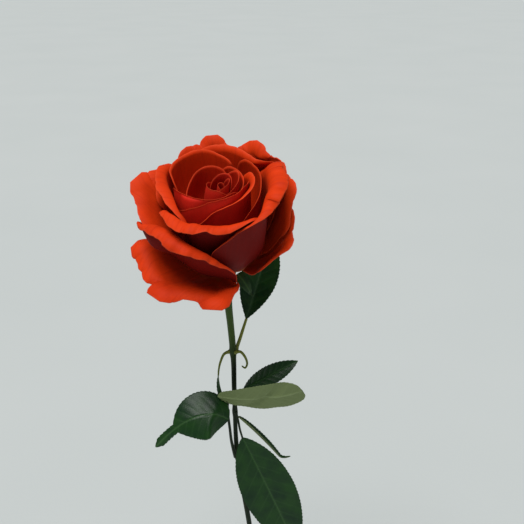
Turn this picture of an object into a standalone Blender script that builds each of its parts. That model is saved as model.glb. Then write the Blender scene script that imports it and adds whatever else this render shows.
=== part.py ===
"""A cut rose standing in a plain bud vase, in metres, +Z up.

The origin is the middle of the vase's flat foot. The front is -Y, and the bloom nods that way.
Every petal, sepal and leaflet is its own solid, because each is its own piece on the plant.
"""

import math
from collections import namedtuple

import bmesh
import bpy
import numpy as np
from mathutils import Matrix, Vector

MM = 0.001

# ---------------------------------------------------------------- driving dimensions
CLEARANCE = 0.3 * MM

VASE_HEIGHT = 160 * MM
VASE_FOOT_RADIUS = 27 * MM
VASE_FOOT_ROUND = 2 * MM
VASE_BELLY_RADIUS = 36 * MM
VASE_BELLY_RISE = 46 * MM
VASE_NECK_BORE = 8.5 * MM
VASE_NECK_LENGTH = 52 * MM
VASE_LIP_DEPTH = 12 * MM
VASE_LIP_FLARE = 4.5 * MM
VASE_WALL = 3.2 * MM
VASE_FLOOR = 6 * MM
VASE_STEPS = 28

STEM_RADIUS = 1.6 * MM
STEM_FOOT_SHARE = 0.65  # how far right the stem stands on the vase's floor, as a share of VASE_FOOT_RADIUS
STEM_STRAIGHT_UNDER_HIP = 4 * MM

BLOOM_NOD = math.radians(25.0)
BLOOM_LEAN = math.radians(6.6)
HIP_HEIGHT = 12 * MM
HIP_RADIUS = 6.5 * MM
HIP_RIM_RADIUS = 9.6 * MM

PETAL_THICKNESS = 0.3 * MM
PETAL_GAP_AT_SEAT = 0.5 * MM
PETAL_GAP_AT_RIM = 0.85 * MM
SEAT_RADIUS_FIRST = 1.6 * MM
SEAT_RADIUS_LAST = 8.4 * MM
SEAT_CONE_SLOPE = 0.5
LEAF_THICKNESS = 0.35 * MM

# ---------------------------------------------------------------- the plant's own shape
# The stem's middle line above the vase's mouth: right, back and up in millimetres from the middle
# line at the mouth, and the stem's radius there. The last point is under the hip.
STEM_RISE = [
    (-3.5, 0.0, 28.0, 1.6),
    (-5.7, 0.0, 46.0, 1.6),
    (-8.8, 0.0, 66.7, 1.55),
    (-10.6, 0.0, 77.9, 1.5),
    (-12.6, 0.0, 97.0, 1.5),
    (-13.3, 0.0, 112.0, 1.35),
    (-13.5, 0.0, 125.5, 1.4),
    (-13.8, 0.0, 140.8, 1.5),
    (-13.9, 0.0, 156.4, 1.6),
    (-14.5, -0.4, 170.0, 1.95),
    (-15.5, -1.6, 184.0, 2.05),
    (-16.5, -4.0, 198.0, 2.3),
    (-16.9, -7.0, 214.7, 2.6),
]

# Petioles, stipules and the leaf's middle stalk: a name, where it leaves the stem (the height above
# the mouth in millimetres, and the direction in degrees), its radius at both ends in millimetres,
# and the points it then passes, as for the stem.
Stalk = namedtuple("Stalk", "name height direction first_radius last_radius points")
STALKS = [
    Stalk(
        "upper_petiole", 165.0, 25, 1.15, 0.8,
        [(-10.3, 2.2, 171.5), (-8.2, 5.0, 177.4), (-6.9, 7.0, 181.1)],
    ),
    Stalk(
        "left_stipule", 165.0, 180, 0.95, 0.45,
        [(-19.6, -0.6, 163.4), (-21.8, -1.4, 158.6), (-22.9, -1.6, 153.6), (-23.3, -2.0, 149.0)],
    ),
    Stalk(
        "right_stipule", 165.0, 318, 0.95, 0.45,
        [(-9.6, -2.6, 165.8), (-6.9, -3.0, 162.6), (-5.7, -3.2, 158.4), (-6.9, -3.4, 155.6),
         (-9.0, -3.5, 157.0)],
    ),
    Stalk(
        "lower_rachis", 92.0, 215, 0.95, 0.6,
        [(-15.6, -3.6, 104.0), (-16.6, -5.2, 115.0), (-17.4, -6.0, 124.0), (-17.6, -6.0, 132.0),
         (-15.8, -5.6, 137.4), (-12.4, -4.6, 139.4), (-9.6, -3.8, 140.0)],
    ),
    Stalk(
        "big_leaf_petiole", 124.0, 300, 0.8, 0.6,
        [(-11.6, -2.8, 119.6), (-10.4, -4.2, 113.6), (-9.2, -5.0, 109.6)],
    ),
]

# Leaf blades: a name, base, tip, how far the middle bows from the straight line between them, the
# upper face's direction at the base and at the tip, half width, where along it is widest as a share,
# how sharp its tip is, and how far each half folds up as a share of its width. In millimetres.
# A blade with a tail has a round body that runs into a strip of that half width.
Blade = namedtuple(
    "Blade", "name base tip bow face_base face_tip half_width widest point fold tail", defaults=[0]
)
BLADES = [
    Blade(
        "upper_leaf", (-6.4, 7.8, 182.2), (9.0, 23.0, 231.0), (1, 4, 0),
        (-0.2, -0.9, 0.5), (0.1, -0.9, 0.6), 11.5, 0.52, 0.9, 0.15,
    ),
    Blade(
        "strip_leaflet", (-20.6, -7.4, 136.2), (-23.0, -5.6, 152.0), (-1, 0, 0),
        (-0.4, -0.9, 0.1), (-0.9, -0.5, 0), 1.9, 0.35, 0.7, 0.5,
    ),
    Blade(
        "left_leaflet", (-16.9, -11.1, 124.4), (-61.5, -14.5, 107.5), (4, -5, 25),
        (-0.1, -0.8, 0.6), (0.2, -0.7, 0.7), 15.0, 0.38, 1.0, -0.12, 3.2,
    ),
    Blade(
        "pale_leaflet", (-23.4, -9.4, 139.5), (27.0, -20.0, 149.0), (2, -2, -6),
        (0.05, 0.85, 0.5), (0.1, 0.85, 0.5), 13.2, 0.62, 0.3, 0.06,
    ),
    Blade(
        "end_leaflet", (-8.2, -2.6, 140.4), (25.5, 15.0, 151.0), (-2, 0, -1),
        (-0.3, -0.75, 0.6), (-0.2, -0.9, 0.4), 6.4, 0.5, 0.8, 0.15,
    ),
    Blade(
        "right_leaflet", (-11.8, 2.2, 119.0), (18.0, 6.5, 82.5), (0.5, 0, 2.5),
        (0.55, 0.1, 0.8), (0.6, -0.2, 0.75), 2.2, 0.45, 0.5, 0.9,
    ),
    Blade(
        "big_leaf", (-8.9, -5.4, 108.6), (26.0, -9.0, 27.5), (1.5, -5, 2),
        (0.0, -1, 0.15), (0.1, -0.95, -0.1), 17.0, 0.45, 0.9, 0.1,
    ),
]
SEPAL_DIRECTIONS = [244, 316, 28, 100, 172]
SEPAL_LENGTH = 15.0
SEPAL_HALF_WIDTH = 3.6

# Petals, innermost first. rise and lean are a petal's slopes at the seat and at the rim: 90 is
# upright, and less leans outward. curl is how far its lip turns over, in degrees. rim has the points
# that the rim passes, anticlockwise seen from above: direction in degrees (0 right, 90 back,
# 180 left, 270 front), radius, height above the seat, and the length of the lip past the rim there.
Petal = namedtuple("Petal", "rise lean curl rim")
PETALS = [
    Petal(89, 97, 20, [(0, 1.5, 46, 0.7), (75, 1.5, 49.5, 0.7), (150, 2, 50.5, 0.7), (225, 2.5, 50, 0.7),
          (300, 3, 46, 0.6)]),
    Petal(88, 98, 25, [(210, 4, 44, 0.7), (270, 3.5, 49.5, 0.9), (330, 3.5, 51.5, 0.9),
          (390, 4, 51.5, 0.9), (450, 4.5, 47, 0.7)]),
    Petal(86, 99, 30, [(325, 5, 46, 0.9), (382, 5, 51.5, 1.1), (440, 5.5, 52.5, 1.1), (497, 6, 50.5, 1.1),
          (555, 6.5, 43, 0.9)]),
    Petal(84, 99, 30, [(110, 7.5, 42.5, 0.9), (162, 8, 49.5, 1.1), (215, 8, 51.5, 1.1),
          (267, 7.5, 50.5, 1.1), (320, 7.5, 44, 0.9)]),
    Petal(82, 98, 40, [(250, 9, 42.5, 1.1), (300, 8.5, 50, 1.3), (350, 8.5, 52.5, 1.3),
          (400, 9.5, 52.5, 1.3), (450, 10.5, 46, 0.9)]),
    Petal(76, 97, 45, [(72, 12, 44, 0.8), (95, 14, 49.5, 1.4), (125, 17, 50.5, 1.4),
          (165, 16.5, 49.5, 1.4), (200, 17.5, 47, 1.4), (222, 16.5, 40.5, 1)]),
    Petal(74, 97, 50, [(320, 9.5, 41, 0.9), (345, 10.5, 47, 1.3), (370, 11.5, 48, 1.5),
          (397, 12.5, 49, 1.7), (420, 14, 49.5, 1.7), (438, 15, 49, 1.5), (458, 14.5, 44, 0.9)]),
    Petal(40, 88, 55, [(66, 19.5, 44, 0.9), (75, 19.5, 49.5, 1.4), (86, 24, 50.5, 1.8),
          (103, 30.5, 50.5, 2.3), (123, 30.5, 50.5, 2.3), (143, 28.5, 50, 1.8), (155, 25, 48, 1.4),
          (167, 21, 40.5, 0.9)]),
    Petal(66, 97, 35, [(160, 23, 39.5, 0.9), (174, 22.5, 47.5, 1.8), (198, 18, 49.5, 1.4),
          (225, 15, 50, 1.2), (255, 12, 50, 1.1), (280, 11, 50.5, 1.1), (305, 11, 51, 1.1),
          (330, 12, 47, 0.9)]),
    Petal(60, 97, 40, [(195, 22, 37.5, 0.9), (210, 21.5, 44, 1.1), (241, 15, 49, 1.1), (262, 13, 50, 1.1),
          (280, 12.5, 50.5, 1.1), (305, 12.5, 51, 1.3), (335, 13, 51, 1.5), (365, 14.5, 49, 1.4),
          (385, 15, 42.5, 0.9)]),
    Petal(54, 94, 95, [(228, 22, 33, 0.9), (238, 21, 38.5, 0.9), (257, 15.5, 44.5, 1.1),
          (280, 14, 46.5, 1.3), (300, 14.5, 47.5, 2.2), (325, 15, 48.5, 4.2), (350, 15.5, 48.5, 5.2),
          (375, 16, 47.5, 5.2), (395, 16, 46, 4), (412, 17, 40, 1.4)]),
    Petal(44, 92, 50, [(298, 20.5, 33, 0.9), (318, 22, 41.5, 1.4), (342, 23, 45.5, 1.7),
          (366, 23.5, 48, 1.8), (396, 26.5, 47.5, 1.8), (414, 28.5, 47, 1.8), (426, 28, 42, 0.9)]),
    Petal(34, 86, 90, [(126, 31.5, 44, 2.8), (147, 29.5, 49, 6.4), (173, 24.5, 48, 7.4),
          (199, 22, 46, 6.4), (215, 21.5, 43.5, 4.6), (230, 22.5, 39.5, 2.3), (246, 23.5, 32, 0.9)]),
    Petal(28, 84, 125, [(196, 27, 41.5, 3), (206, 25.5, 44.5, 6), (218, 24, 45, 9), (238, 24.5, 43.5, 10),
          (267, 22.5, 42, 9.5), (292, 23.5, 41.5, 8), (318, 27, 42, 4), (334, 29.5, 37, 1.5)]),
    Petal(20, 84, 112, [(264, 26.5, 28.5, 1), (284, 26, 35, 1.5), (303, 26.5, 40, 2.5),
          (321, 29, 43, 6.5), (337, 28.5, 44.5, 11), (352, 28.5, 45.5, 14), (372, 29, 45, 15),
          (388, 30.5, 42.5, 13), (400, 31, 39, 8), (412, 31.5, 32, 3)]),
    Petal(24, 80, 60, [(24, 31.5, 37, 2.8), (38, 31.5, 42.5, 3.7), (50, 30.5, 46, 4.6),
          (64, 30.5, 48, 4.6), (79, 31.5, 49, 4.6), (95, 31.5, 48, 4.6), (112, 32, 43, 2.8)]),
    Petal(24, 76, 65, [(66, 31.5, 35, 3.7), (80, 31.5, 40.5, 5.5), (100, 32, 42.5, 6.4),
          (120, 32, 43, 6.4), (135, 32, 41.5, 6.4), (148, 31.5, 39.5, 5.5), (162, 30.5, 34, 3.7)]),
    Petal(22, 50, 45, [(128, 31.5, 35, 4), (142, 33, 38, 7), (152, 35.5, 39, 8), (160, 36.5, 38, 8.5),
          (175, 35, 35, 7.5), (188, 33, 32, 6), (203, 33, 26, 4)]),
    Petal(18, 80, 110, [(184, 33.5, 29.5, 4), (193, 34, 33, 5.5), (205, 31, 36.5, 7.5),
          (219, 29, 37.5, 8.5), (235, 29, 36.5, 8), (246, 29.5, 34.5, 7), (262, 28.5, 28, 4),
          (276, 28, 20.5, 2), (290, 28, 12.5, 1)]),
    Petal(20, 70, 55, [(64, 32, 37, 4.6), (76, 34, 42, 6.4), (92, 37.5, 43, 7.4), (107, 35, 42.5, 7.4),
          (122, 31.5, 40.5, 6.4), (132, 30.5, 35, 4.6)]),
    Petal(18, 70, 50, [(16, 36, 32, 4.6), (32, 37, 39.5, 6.4), (44, 37.5, 41, 7.4), (56, 38.5, 42, 7.4),
          (61, 37.5, 41.5, 7.4), (70, 34, 39.5, 6.4), (82, 33, 35, 4.6)]),
    Petal(14, 60, 45, [(352, 36.5, 20, 3), (368, 37.5, 27, 5), (380, 39, 31, 7), (390, 40, 34, 7),
          (398, 40, 35, 6), (410, 36, 31, 4)]),
    Petal(8, 55, 55, [(316, 30.5, 9, 2), (326, 32, 11, 2.5), (334, 34, 12.5, 3.5), (342, 36.5, 15, 4.5),
          (352, 36.5, 19, 5), (365, 36.5, 24, 5), (380, 36, 26, 4)]),
    Petal(2, 30, 75, [(170, 34, 11, 6), (183, 36.5, 13, 11), (198, 36.5, 10.5, 11), (212, 36.5, 7.5, 11),
          (224, 35.5, 6.5, 12), (240, 33, 7, 10), (254, 31.5, 5.5, 9.5), (266, 31.5, 4, 9),
          (280, 27, 3, 6), (292, 23, 1, 2)]),
]

# The heart of the bloom stands off its middle, to the right and back, most at the top. The move
# fades as exp(-(radius / reach) ** 4), and grows as the power 1.5 of the height.
HEART = (6.5, 2.0)
HEART_REACH = 26.0
HEART_HEIGHT = 51.0

# The fine net on which each petal is worked out, and the rows and columns of it that are kept.
NET_ALONG = 80
NET_ACROSS = 120
NET_RIM_ROW = 60
KEPT_ROWS = [0, 8, 20, 34, 48, 60, 70, 80]
KEPT_ROW_REACH = 7
KEPT_COLUMN_STEP = 12
BASE_WIDTH_SHARE = 0.72
WIDENING_SHARE = 0.55
END_ROUND = 4.5
SHORTEST_LIP = 0.3

# The bloom's outside so far, as a radius for each direction and height, in which petals are nested.
SHELL_DIRECTIONS = 180
SHELL_BOTTOM = -30.0
SHELL_TOP = 75.0
SHELL_STEP = 1.0
FLATTEST = 0.35


# ---------------------------------------------------------------- petals, in millimetres
def unit(vectors):
    return vectors / np.linalg.norm(vectors, axis=-1, keepdims=True)


def rim_line(petal):
    """The rim's direction, radius, height and lip for each column of the net, at even steps along
    its length. Each end is rounded by an arc, which is R * (1 - sqrt(1 - x * x)) deep."""
    fine = smooth_line(petal.rim, 24)
    turn = np.radians(fine[:, 0])
    places = np.column_stack([fine[:, 1] * np.cos(turn), fine[:, 1] * np.sin(turn), fine[:, 2]])
    arc = np.append(0, np.linalg.norm(np.diff(places, axis=0), axis=1).cumsum())
    even = np.linspace(0, arc[-1], NET_ACROSS + 1)
    turn, radius, height, lip = (np.interp(even, arc, column) for column in fine.T)
    from_end = np.minimum(np.minimum(even, arc[-1] - even) / END_ROUND, 1)
    dip = 1 - np.sqrt(1 - (1 - from_end) ** 2)
    lean = math.radians(petal.lean)
    radius = radius - END_ROUND * dip * math.cos(lean)
    height = height - END_ROUND * dip * math.sin(lean)
    return np.radians(turn), radius, height, np.maximum(lip * (1 - dip), SHORTEST_LIP)


def petal_net(petal, seat_radius):
    """Radius, direction and height of the petal's middle surface, before it is nested."""
    turn, rim_r, rim_z, lip = rim_line(petal)
    seat_z = -SEAT_CONE_SLOPE * seat_radius
    rise, lean = math.radians(petal.rise), math.radians(petal.lean)
    reach = 0.45 * np.hypot(rim_r - seat_radius, rim_z - seat_z)

    row = np.arange(NET_ALONG + 1)[:, None]
    t = np.minimum(row / NET_RIM_ROW, 1)
    weights = ((1 - t) ** 3, 3 * t * (1 - t) ** 2, 3 * t * t * (1 - t), t**3)
    radii = (seat_radius, seat_radius + reach * math.cos(rise), rim_r - reach * math.cos(lean), rim_r)
    heights = (seat_z, seat_z + reach * math.sin(rise), rim_z - reach * math.sin(lean), rim_z)
    r = sum(w * a for w, a in zip(weights, radii))
    z = sum(w * a for w, a in zip(weights, heights))

    widening = np.sin(np.minimum(row / NET_ALONG / WIDENING_SHARE, 1) * math.pi / 2)
    middle = (turn[0] + turn[-1]) / 2
    direction = middle + (turn - middle) * (BASE_WIDTH_SHARE + (1 - BASE_WIDTH_SHARE) * widening)
    return rolled(petal, lip, r, direction, z)


def rolled(petal, lip, r, direction, z):
    """The net with the rows past the rim rolled outward about the rim line itself.

    At a share s of the lip's length L, and with a roll of c, a point stands L/c * sin(cs) from the
    rim along the petal, square to the rim, and L/c * (1 - cos(cs)) off it.
    """
    turn = direction[-1]
    line = np.stack([r[-1] * np.cos(turn), r[-1] * np.sin(turn), z[-1]], axis=-1)
    lean, curl = math.radians(petal.lean), math.radians(petal.curl)
    up = np.column_stack(
        [math.cos(lean) * np.cos(turn), math.cos(lean) * np.sin(turn), np.full(len(turn), math.sin(lean))]
    )
    way = unit(np.gradient(line, axis=0))
    beyond = unit(up - way * (way * up).sum(axis=-1, keepdims=True))
    off = np.cross(way, beyond)
    past = np.clip((np.arange(NET_ALONG + 1) - NET_RIM_ROW) / (NET_ALONG - NET_RIM_ROW), 0, 1)
    angle = curl * past[:, None]
    points = np.stack([r * np.cos(direction), r * np.sin(direction), z], axis=-1)
    points = points + (lip / curl * np.sin(angle))[..., None] * beyond
    points = points + (lip / curl * (1 - np.cos(angle)))[..., None] * off
    turned_to = np.arctan2(points[..., 1], points[..., 0]) - direction
    turned_to = direction + (turned_to + math.pi) % (2 * math.pi) - math.pi
    return np.hypot(points[..., 0], points[..., 1]), turned_to, points[..., 2]


def shell_cells(direction, z):
    """Where directions and heights fall in the shell's table, as fractions of its cells."""
    turn = np.degrees(direction) % 360 / 360 * SHELL_DIRECTIONS
    row = np.clip((z - SHELL_BOTTOM) / SHELL_STEP, 0, (SHELL_TOP - SHELL_BOTTOM) / SHELL_STEP - 1.001)
    return turn, row


def spread_out(field):
    """Each cell's highest neighbour, itself included. Directions run round, and heights end."""
    field = np.maximum(field, np.maximum(np.roll(field, 1, 0), np.roll(field, -1, 0)))
    padded = np.pad(field, ((0, 0), (1, 1)), mode="edge")
    return np.maximum(field, np.maximum(padded[:, :-2], padded[:, 2:]))


def widened(push):
    """Each point takes the most that is asked up to one kept row or column away, so that the kept
    points' straight edges clear what the net clears."""
    reach = (KEPT_ROW_REACH, KEPT_COLUMN_STEP)
    padded = np.pad(push, [(n, n) for n in reach], mode="edge")
    windows = np.lib.stride_tricks.sliding_window_view(padded, [2 * n + 1 for n in reach])
    return windows.max(axis=(2, 3))


def nested_petals():
    """Every petal's net, innermost first, each pushed out until it clears all those inside it."""
    rows = int((SHELL_TOP - SHELL_BOTTOM) / SHELL_STEP)
    shell = np.zeros((SHELL_DIRECTIONS, rows))
    seats = np.linspace(SEAT_RADIUS_FIRST, SEAT_RADIUS_LAST, len(PETALS)) / MM
    gap = np.linspace(PETAL_GAP_AT_SEAT, PETAL_GAP_AT_RIM, NET_ALONG + 1)[:, None] / MM
    in_body = np.arange(NET_ALONG + 1)[:, None] < NET_RIM_ROW
    nets = []
    for petal, seat in zip(PETALS, seats):
        r, direction, z = petal_net(petal, seat)
        turn, row = shell_cells(direction, z)
        near, low = turn.astype(int), row.astype(int)
        part_turn, part_row = turn - near, row - low
        far = (near + 1) % SHELL_DIRECTIONS
        near = near % SHELL_DIRECTIONS
        inside = (
            shell[near, low] * (1 - part_turn) * (1 - part_row)
            + shell[far, low] * part_turn * (1 - part_row)
            + shell[near, low + 1] * (1 - part_turn) * part_row
            + shell[far, low + 1] * part_turn * part_row
        )
        run, climb = np.gradient(r, axis=0), np.gradient(z, axis=0)
        steepness = np.where(in_body, np.abs(climb) / np.maximum(np.hypot(run, climb), 1e-9), 1)
        needed = np.where(inside > 0, inside + gap / np.maximum(steepness, FLATTEST), 0)
        r = r + widened(np.maximum(needed - r, 0))
        nets.append((r, direction, z))
        here = np.zeros_like(shell)
        np.maximum.at(here, (np.rint(turn).astype(int) % SHELL_DIRECTIONS, np.rint(row).astype(int)), r)
        shell = np.maximum(shell, spread_out(here))
    return nets


def bloom_points(net):
    """The net as points in the bloom's own frame, in metres."""
    r, direction, z = net
    share = np.exp(-((r / HEART_REACH) ** 4)) * (np.maximum(z, 0) / HEART_HEIGHT) ** 1.5
    right, back = (r * way(direction) + move * share for way, move in zip((np.cos, np.sin), HEART))
    return np.stack([right, back, z], axis=-1) * MM


# ---------------------------------------------------------------- building
def emptied_scene():
    """Takes out the scene's objects and gives the collection that holds the rose."""
    for obj in list(bpy.data.objects):
        bpy.data.objects.remove(obj, do_unlink=True)
    collection = bpy.data.collections.new("rose_in_bud_vase")
    bpy.context.scene.collection.children.link(collection)
    return collection


def material(name, colour, roughness):
    """A plain material: colour is linear red, green and blue."""
    made = bpy.data.materials.new(name)
    made.use_nodes = True
    shader = made.node_tree.nodes["Principled BSDF"]
    shader.inputs["Base Color"].default_value = (*colour, 1)
    shader.inputs["Roughness"].default_value = roughness
    shader.inputs["Metallic"].default_value = 0
    return made


def placed(collection, name, data, finish, frame=None):
    """The object made of this mesh or curve, in the collection, with its material and its place."""
    obj = bpy.data.objects.new(name, data)
    collection.objects.link(obj)
    data.materials.append(finish)
    if frame is not None:
        obj.matrix_world = frame
    return obj


def sheet(collection, name, points, thickness, finish, frame=None):
    """A thin solid on a net of points, which has one row for each step along and shape (rows, columns, 3)."""
    rows, columns = points.shape[:2]
    cage = bmesh.new()
    bmesh.ops.create_grid(cage, x_segments=columns - 1, y_segments=rows - 1, size=1)
    for vertex in cage.verts:
        column = round((vertex.co.x + 1) / 2 * (columns - 1))
        row = round((vertex.co.y + 1) / 2 * (rows - 1))
        vertex.co = points[row, column]
    mesh = bpy.data.meshes.new(name)
    cage.to_mesh(mesh)
    cage.free()
    mesh.shade_smooth()
    obj = placed(collection, name, mesh, finish, frame)
    wall = obj.modifiers.new("wall", "SOLIDIFY")
    wall.thickness = thickness
    wall.offset = 0
    return obj


def turned(collection, name, profile, steps, finish, frame=None):
    """A solid of revolution about its own Z, from a profile of (radius, height) that ends on the axis."""
    mesh = bpy.data.meshes.new(name)
    points = [(radius, 0, height) for radius, height in profile]
    mesh.from_pydata(points, [(i, i + 1) for i in range(len(points) - 1)], [])
    obj = placed(collection, name, mesh, finish, frame)
    spin = obj.modifiers.new("turn", "SCREW")
    spin.steps = spin.render_steps = steps
    spin.use_merge_vertices = True
    spin.merge_threshold = 0.00001
    spin.use_smooth_shade = True
    return obj


def tube(collection, name, points, radii, sides_step, finish):
    """A round stalk along a smooth line, with flat ends. sides_step 2 gives 8 sides and 1 gives 6."""
    curve = bpy.data.curves.new(name, "CURVE")
    curve.dimensions = "3D"
    curve.bevel_depth = 1.0
    curve.bevel_resolution = sides_step
    curve.use_fill_caps = True
    spline = curve.splines.new("POLY")
    spline.points.add(len(points) - 1)
    for point, place, radius in zip(spline.points, points, radii):
        point.co = (*place, 1)
        point.radius = radius
    return placed(collection, name, curve, finish)


def smooth_line(points, each):
    """A smooth curve through rows of numbers, each stretch cut in this many parts (Catmull-Rom)."""
    points = np.array(points, float)
    padded = np.vstack([2 * points[0] - points[1], points, 2 * points[-1] - points[-2]])
    t = np.linspace(0, 1, each, endpoint=False)[:, None]
    stretches = [
        0.5 * (2 * b + (c - a) * t + (2 * a - 5 * b + 4 * c - d) * t**2 + (3 * b - a - 3 * c + d) * t**3)
        for a, b, c, d in zip(padded, padded[1:], padded[2:], padded[3:])
    ]
    return np.vstack(stretches + [points[-1:]])


# ---------------------------------------------------------------- vase
def blend(share):
    """0 to 1, level at both ends."""
    return (1 - math.cos(math.pi * min(max(share, 0), 1))) / 2


def vase_outer_radius(z):
    """The vase's outside at this height: foot, belly, shoulder, straight neck and flared lip."""
    neck = VASE_NECK_BORE + VASE_WALL
    lip_start = VASE_HEIGHT - VASE_LIP_DEPTH
    neck_start = lip_start - VASE_NECK_LENGTH + VASE_LIP_DEPTH
    if z <= VASE_BELLY_RISE:
        swell = math.sin(math.pi / 2 * z / VASE_BELLY_RISE)
        return VASE_FOOT_RADIUS + (VASE_BELLY_RADIUS - VASE_FOOT_RADIUS) * swell
    if z <= neck_start:
        share = (z - VASE_BELLY_RISE) / (neck_start - VASE_BELLY_RISE)
        return VASE_BELLY_RADIUS + (neck - VASE_BELLY_RADIUS) * blend(share)
    share = max(z - lip_start, 0) / VASE_LIP_DEPTH
    return neck + VASE_LIP_FLARE * share**2


def vase_heights():
    """Where the vase's profile has points: closer together at the lip than on the straight neck."""
    lip_start = VASE_HEIGHT - VASE_LIP_DEPTH
    neck_start = lip_start - VASE_NECK_LENGTH + VASE_LIP_DEPTH
    belly = np.linspace(VASE_FLOOR, VASE_BELLY_RISE, 5)
    shoulder = np.linspace(VASE_BELLY_RISE, neck_start, 8)[1:]
    lip = np.linspace(lip_start, VASE_HEIGHT - VASE_WALL / 2, 4)
    return [*belly, *shoulder, *lip]


def vase_profile():
    """Up the inside from the middle of the floor, over the rounded lip and down the outside."""
    heights = vase_heights()
    floor_radius = vase_outer_radius(VASE_FLOOR) - VASE_WALL
    inside = [(vase_outer_radius(z) - VASE_WALL, z) for z in heights[1:]]
    outside = [(vase_outer_radius(z), z) for z in reversed(heights)]
    top = VASE_HEIGHT - VASE_WALL / 2
    middle = vase_outer_radius(top) - VASE_WALL / 2
    lip = [
        (middle - VASE_WALL / 2 * math.cos(a), top + VASE_WALL / 2 * math.sin(a))
        for a in np.radians([45, 90, 135])
    ]
    floor = [(0, VASE_FLOOR), (floor_radius - VASE_FOOT_ROUND, VASE_FLOOR)]
    foot = [
        (vase_outer_radius(VASE_FOOT_ROUND), VASE_FOOT_ROUND),
        (VASE_FOOT_RADIUS - VASE_FOOT_ROUND / 3, VASE_FOOT_ROUND / 3),
        (VASE_FOOT_RADIUS - VASE_FOOT_ROUND, 0),
        (0, 0),
    ]
    return floor + inside + lip + outside + foot


# ---------------------------------------------------------------- stem and stalks
def mouth_point():
    """The stem's middle line where it rests on the left of the neck, level with the vase's top."""
    return np.array([-(VASE_NECK_BORE - STEM_RADIUS - CLEARANCE), 0, VASE_HEIGHT])


def bloom_axis():
    """The way the bloom faces: up, nodding to the front and leaning left."""
    return Vector((-math.tan(BLOOM_LEAN), -math.tan(BLOOM_NOD), 1)).normalized()


def hip_bottom():
    """The stem's end under the hip."""
    return mouth_point() + np.array(STEM_RISE[-1][:3]) * MM


def bloom_frame():
    """The bloom's own frame: its origin is the middle of the hip's top, and its Z is its axis."""
    up = bloom_axis()
    right = (Vector((1, 0, 0)) - up * up.x).normalized()
    back = up.cross(right)
    seat = Vector(hip_bottom()) + up * (HIP_HEIGHT + SEAT_CONE_SLOPE * HIP_RIM_RADIUS + CLEARANCE)
    frame = Matrix((right, back, up)).transposed().to_4x4()
    frame.translation = seat
    return frame


def stem_line():
    """Rows of place and radius along the stem, from the vase's floor to the hip."""
    mouth = mouth_point()
    foot_right = STEM_FOOT_SHARE * VASE_FOOT_RADIUS
    lean = math.atan2(foot_right - mouth[0], VASE_HEIGHT - VASE_FLOOR)
    foot = np.array([foot_right, 0, VASE_FLOOR + CLEARANCE + STEM_RADIUS * math.sin(lean)])
    rows = [(*foot, STEM_RADIUS), (*((foot + mouth) / 2), STEM_RADIUS), (*mouth, STEM_RADIUS)]
    rows += [(*(mouth + np.array(row[:3]) * MM), row[3] * MM) for row in STEM_RISE]
    end = rows.pop()
    under_hip = hip_bottom() - np.array(bloom_axis()) * STEM_STRAIGHT_UNDER_HIP
    return np.vstack([smooth_line([*rows, (*under_hip, end[3])], 2), end])


def off_stem(stem, height, direction, distance):
    """A point beside the stem, at this height above the mouth and this distance from its surface."""
    z = VASE_HEIGHT + height
    x, y, radius = (np.interp(z, stem[:, 2], stem[:, i]) for i in (0, 1, 3))
    reach = radius + distance
    turn = math.radians(direction)
    return np.array([x + reach * math.cos(turn), y + reach * math.sin(turn), z])


def stalk_line(stalk, stem):
    """Rows of place and radius along a stalk, which starts just clear of the stem."""
    mouth = mouth_point()
    distance = stalk.first_radius * MM + CLEARANCE
    start = off_stem(stem, stalk.height * MM, stalk.direction, distance)
    places = [start] + [mouth + np.array(point) * MM for point in stalk.points]
    radii = np.linspace(stalk.first_radius, stalk.last_radius, len(places)) * MM
    return smooth_line(np.column_stack([places, radii]), 2)


# ---------------------------------------------------------------- leaves
BLADE_ROWS = 13
BLADE_COLUMNS = 5
BLADE_END_SHARE = 0.06


def half_widths(along, half_width, widest, point, tail):
    """A leaf's width from the midrib to the margin at each share along it."""
    least = BLADE_END_SHARE * half_width
    if tail:
        body = half_width * np.clip(1 - ((along - widest) / widest) ** 2, 0, 1) ** 0.6
        strip = tail * np.clip((1 - along) / BLADE_END_SHARE, 0, 1) ** 0.6 * (along > widest)
        return np.maximum((body**3 + strip**3) ** (1 / 3), least)
    rise = point * widest / (1 - widest)
    peak = widest**rise * (1 - widest) ** point
    return np.maximum(half_width * along**rise * (1 - along) ** point / peak, least)


def blade_points(base, tip, bow, face_base, face_tip, half_width, widest, point, fold, tail=0):
    """A leaf's net: a bowed midrib, and halves that fold up from it. In the units it is given."""
    along = np.linspace(0, 1, BLADE_ROWS)[:, None]
    across = np.linspace(-1, 1, BLADE_COLUMNS)[None, :, None]
    base, tip, bow = (np.array(v, float) for v in (base, tip, bow))
    middle = (base + tip) / 2 + bow
    rib = (1 - along) ** 2 * base + 2 * along * (1 - along) * middle + along**2 * tip
    way = unit(2 * (1 - along) * (middle - base) + 2 * along * (tip - middle))
    face = unit((1 - along) * np.array(face_base, float) + along * np.array(face_tip, float))
    side = unit(np.cross(way, face))
    face = np.cross(side, way)
    spread = across * half_widths(along, half_width, widest, point, tail)[:, None, :]
    return rib[:, None] + side[:, None] * spread + face[:, None] * fold * np.abs(spread)


def sepal_points(direction):
    """A sepal under the bloom: from the hip's rim it turns out and down, in the bloom's frame."""
    turn = math.radians(direction)
    out = np.array([math.cos(turn), math.sin(turn), 0])
    up = np.array([0, 0, 1])
    rim = HIP_RIM_RADIUS / MM
    start = out * (rim + 0.6) - up * (SEAT_CONE_SLOPE * rim + 2.2)
    tip = start + SEPAL_LENGTH * (0.62 * out - 0.78 * up)
    bow = 3.2 * (0.78 * out + 0.62 * up)
    return blade_points(start, tip, bow, up, 0.8 * out + 0.6 * up, SEPAL_HALF_WIDTH, 0.22, 0.9, 0.2) * MM


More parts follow.
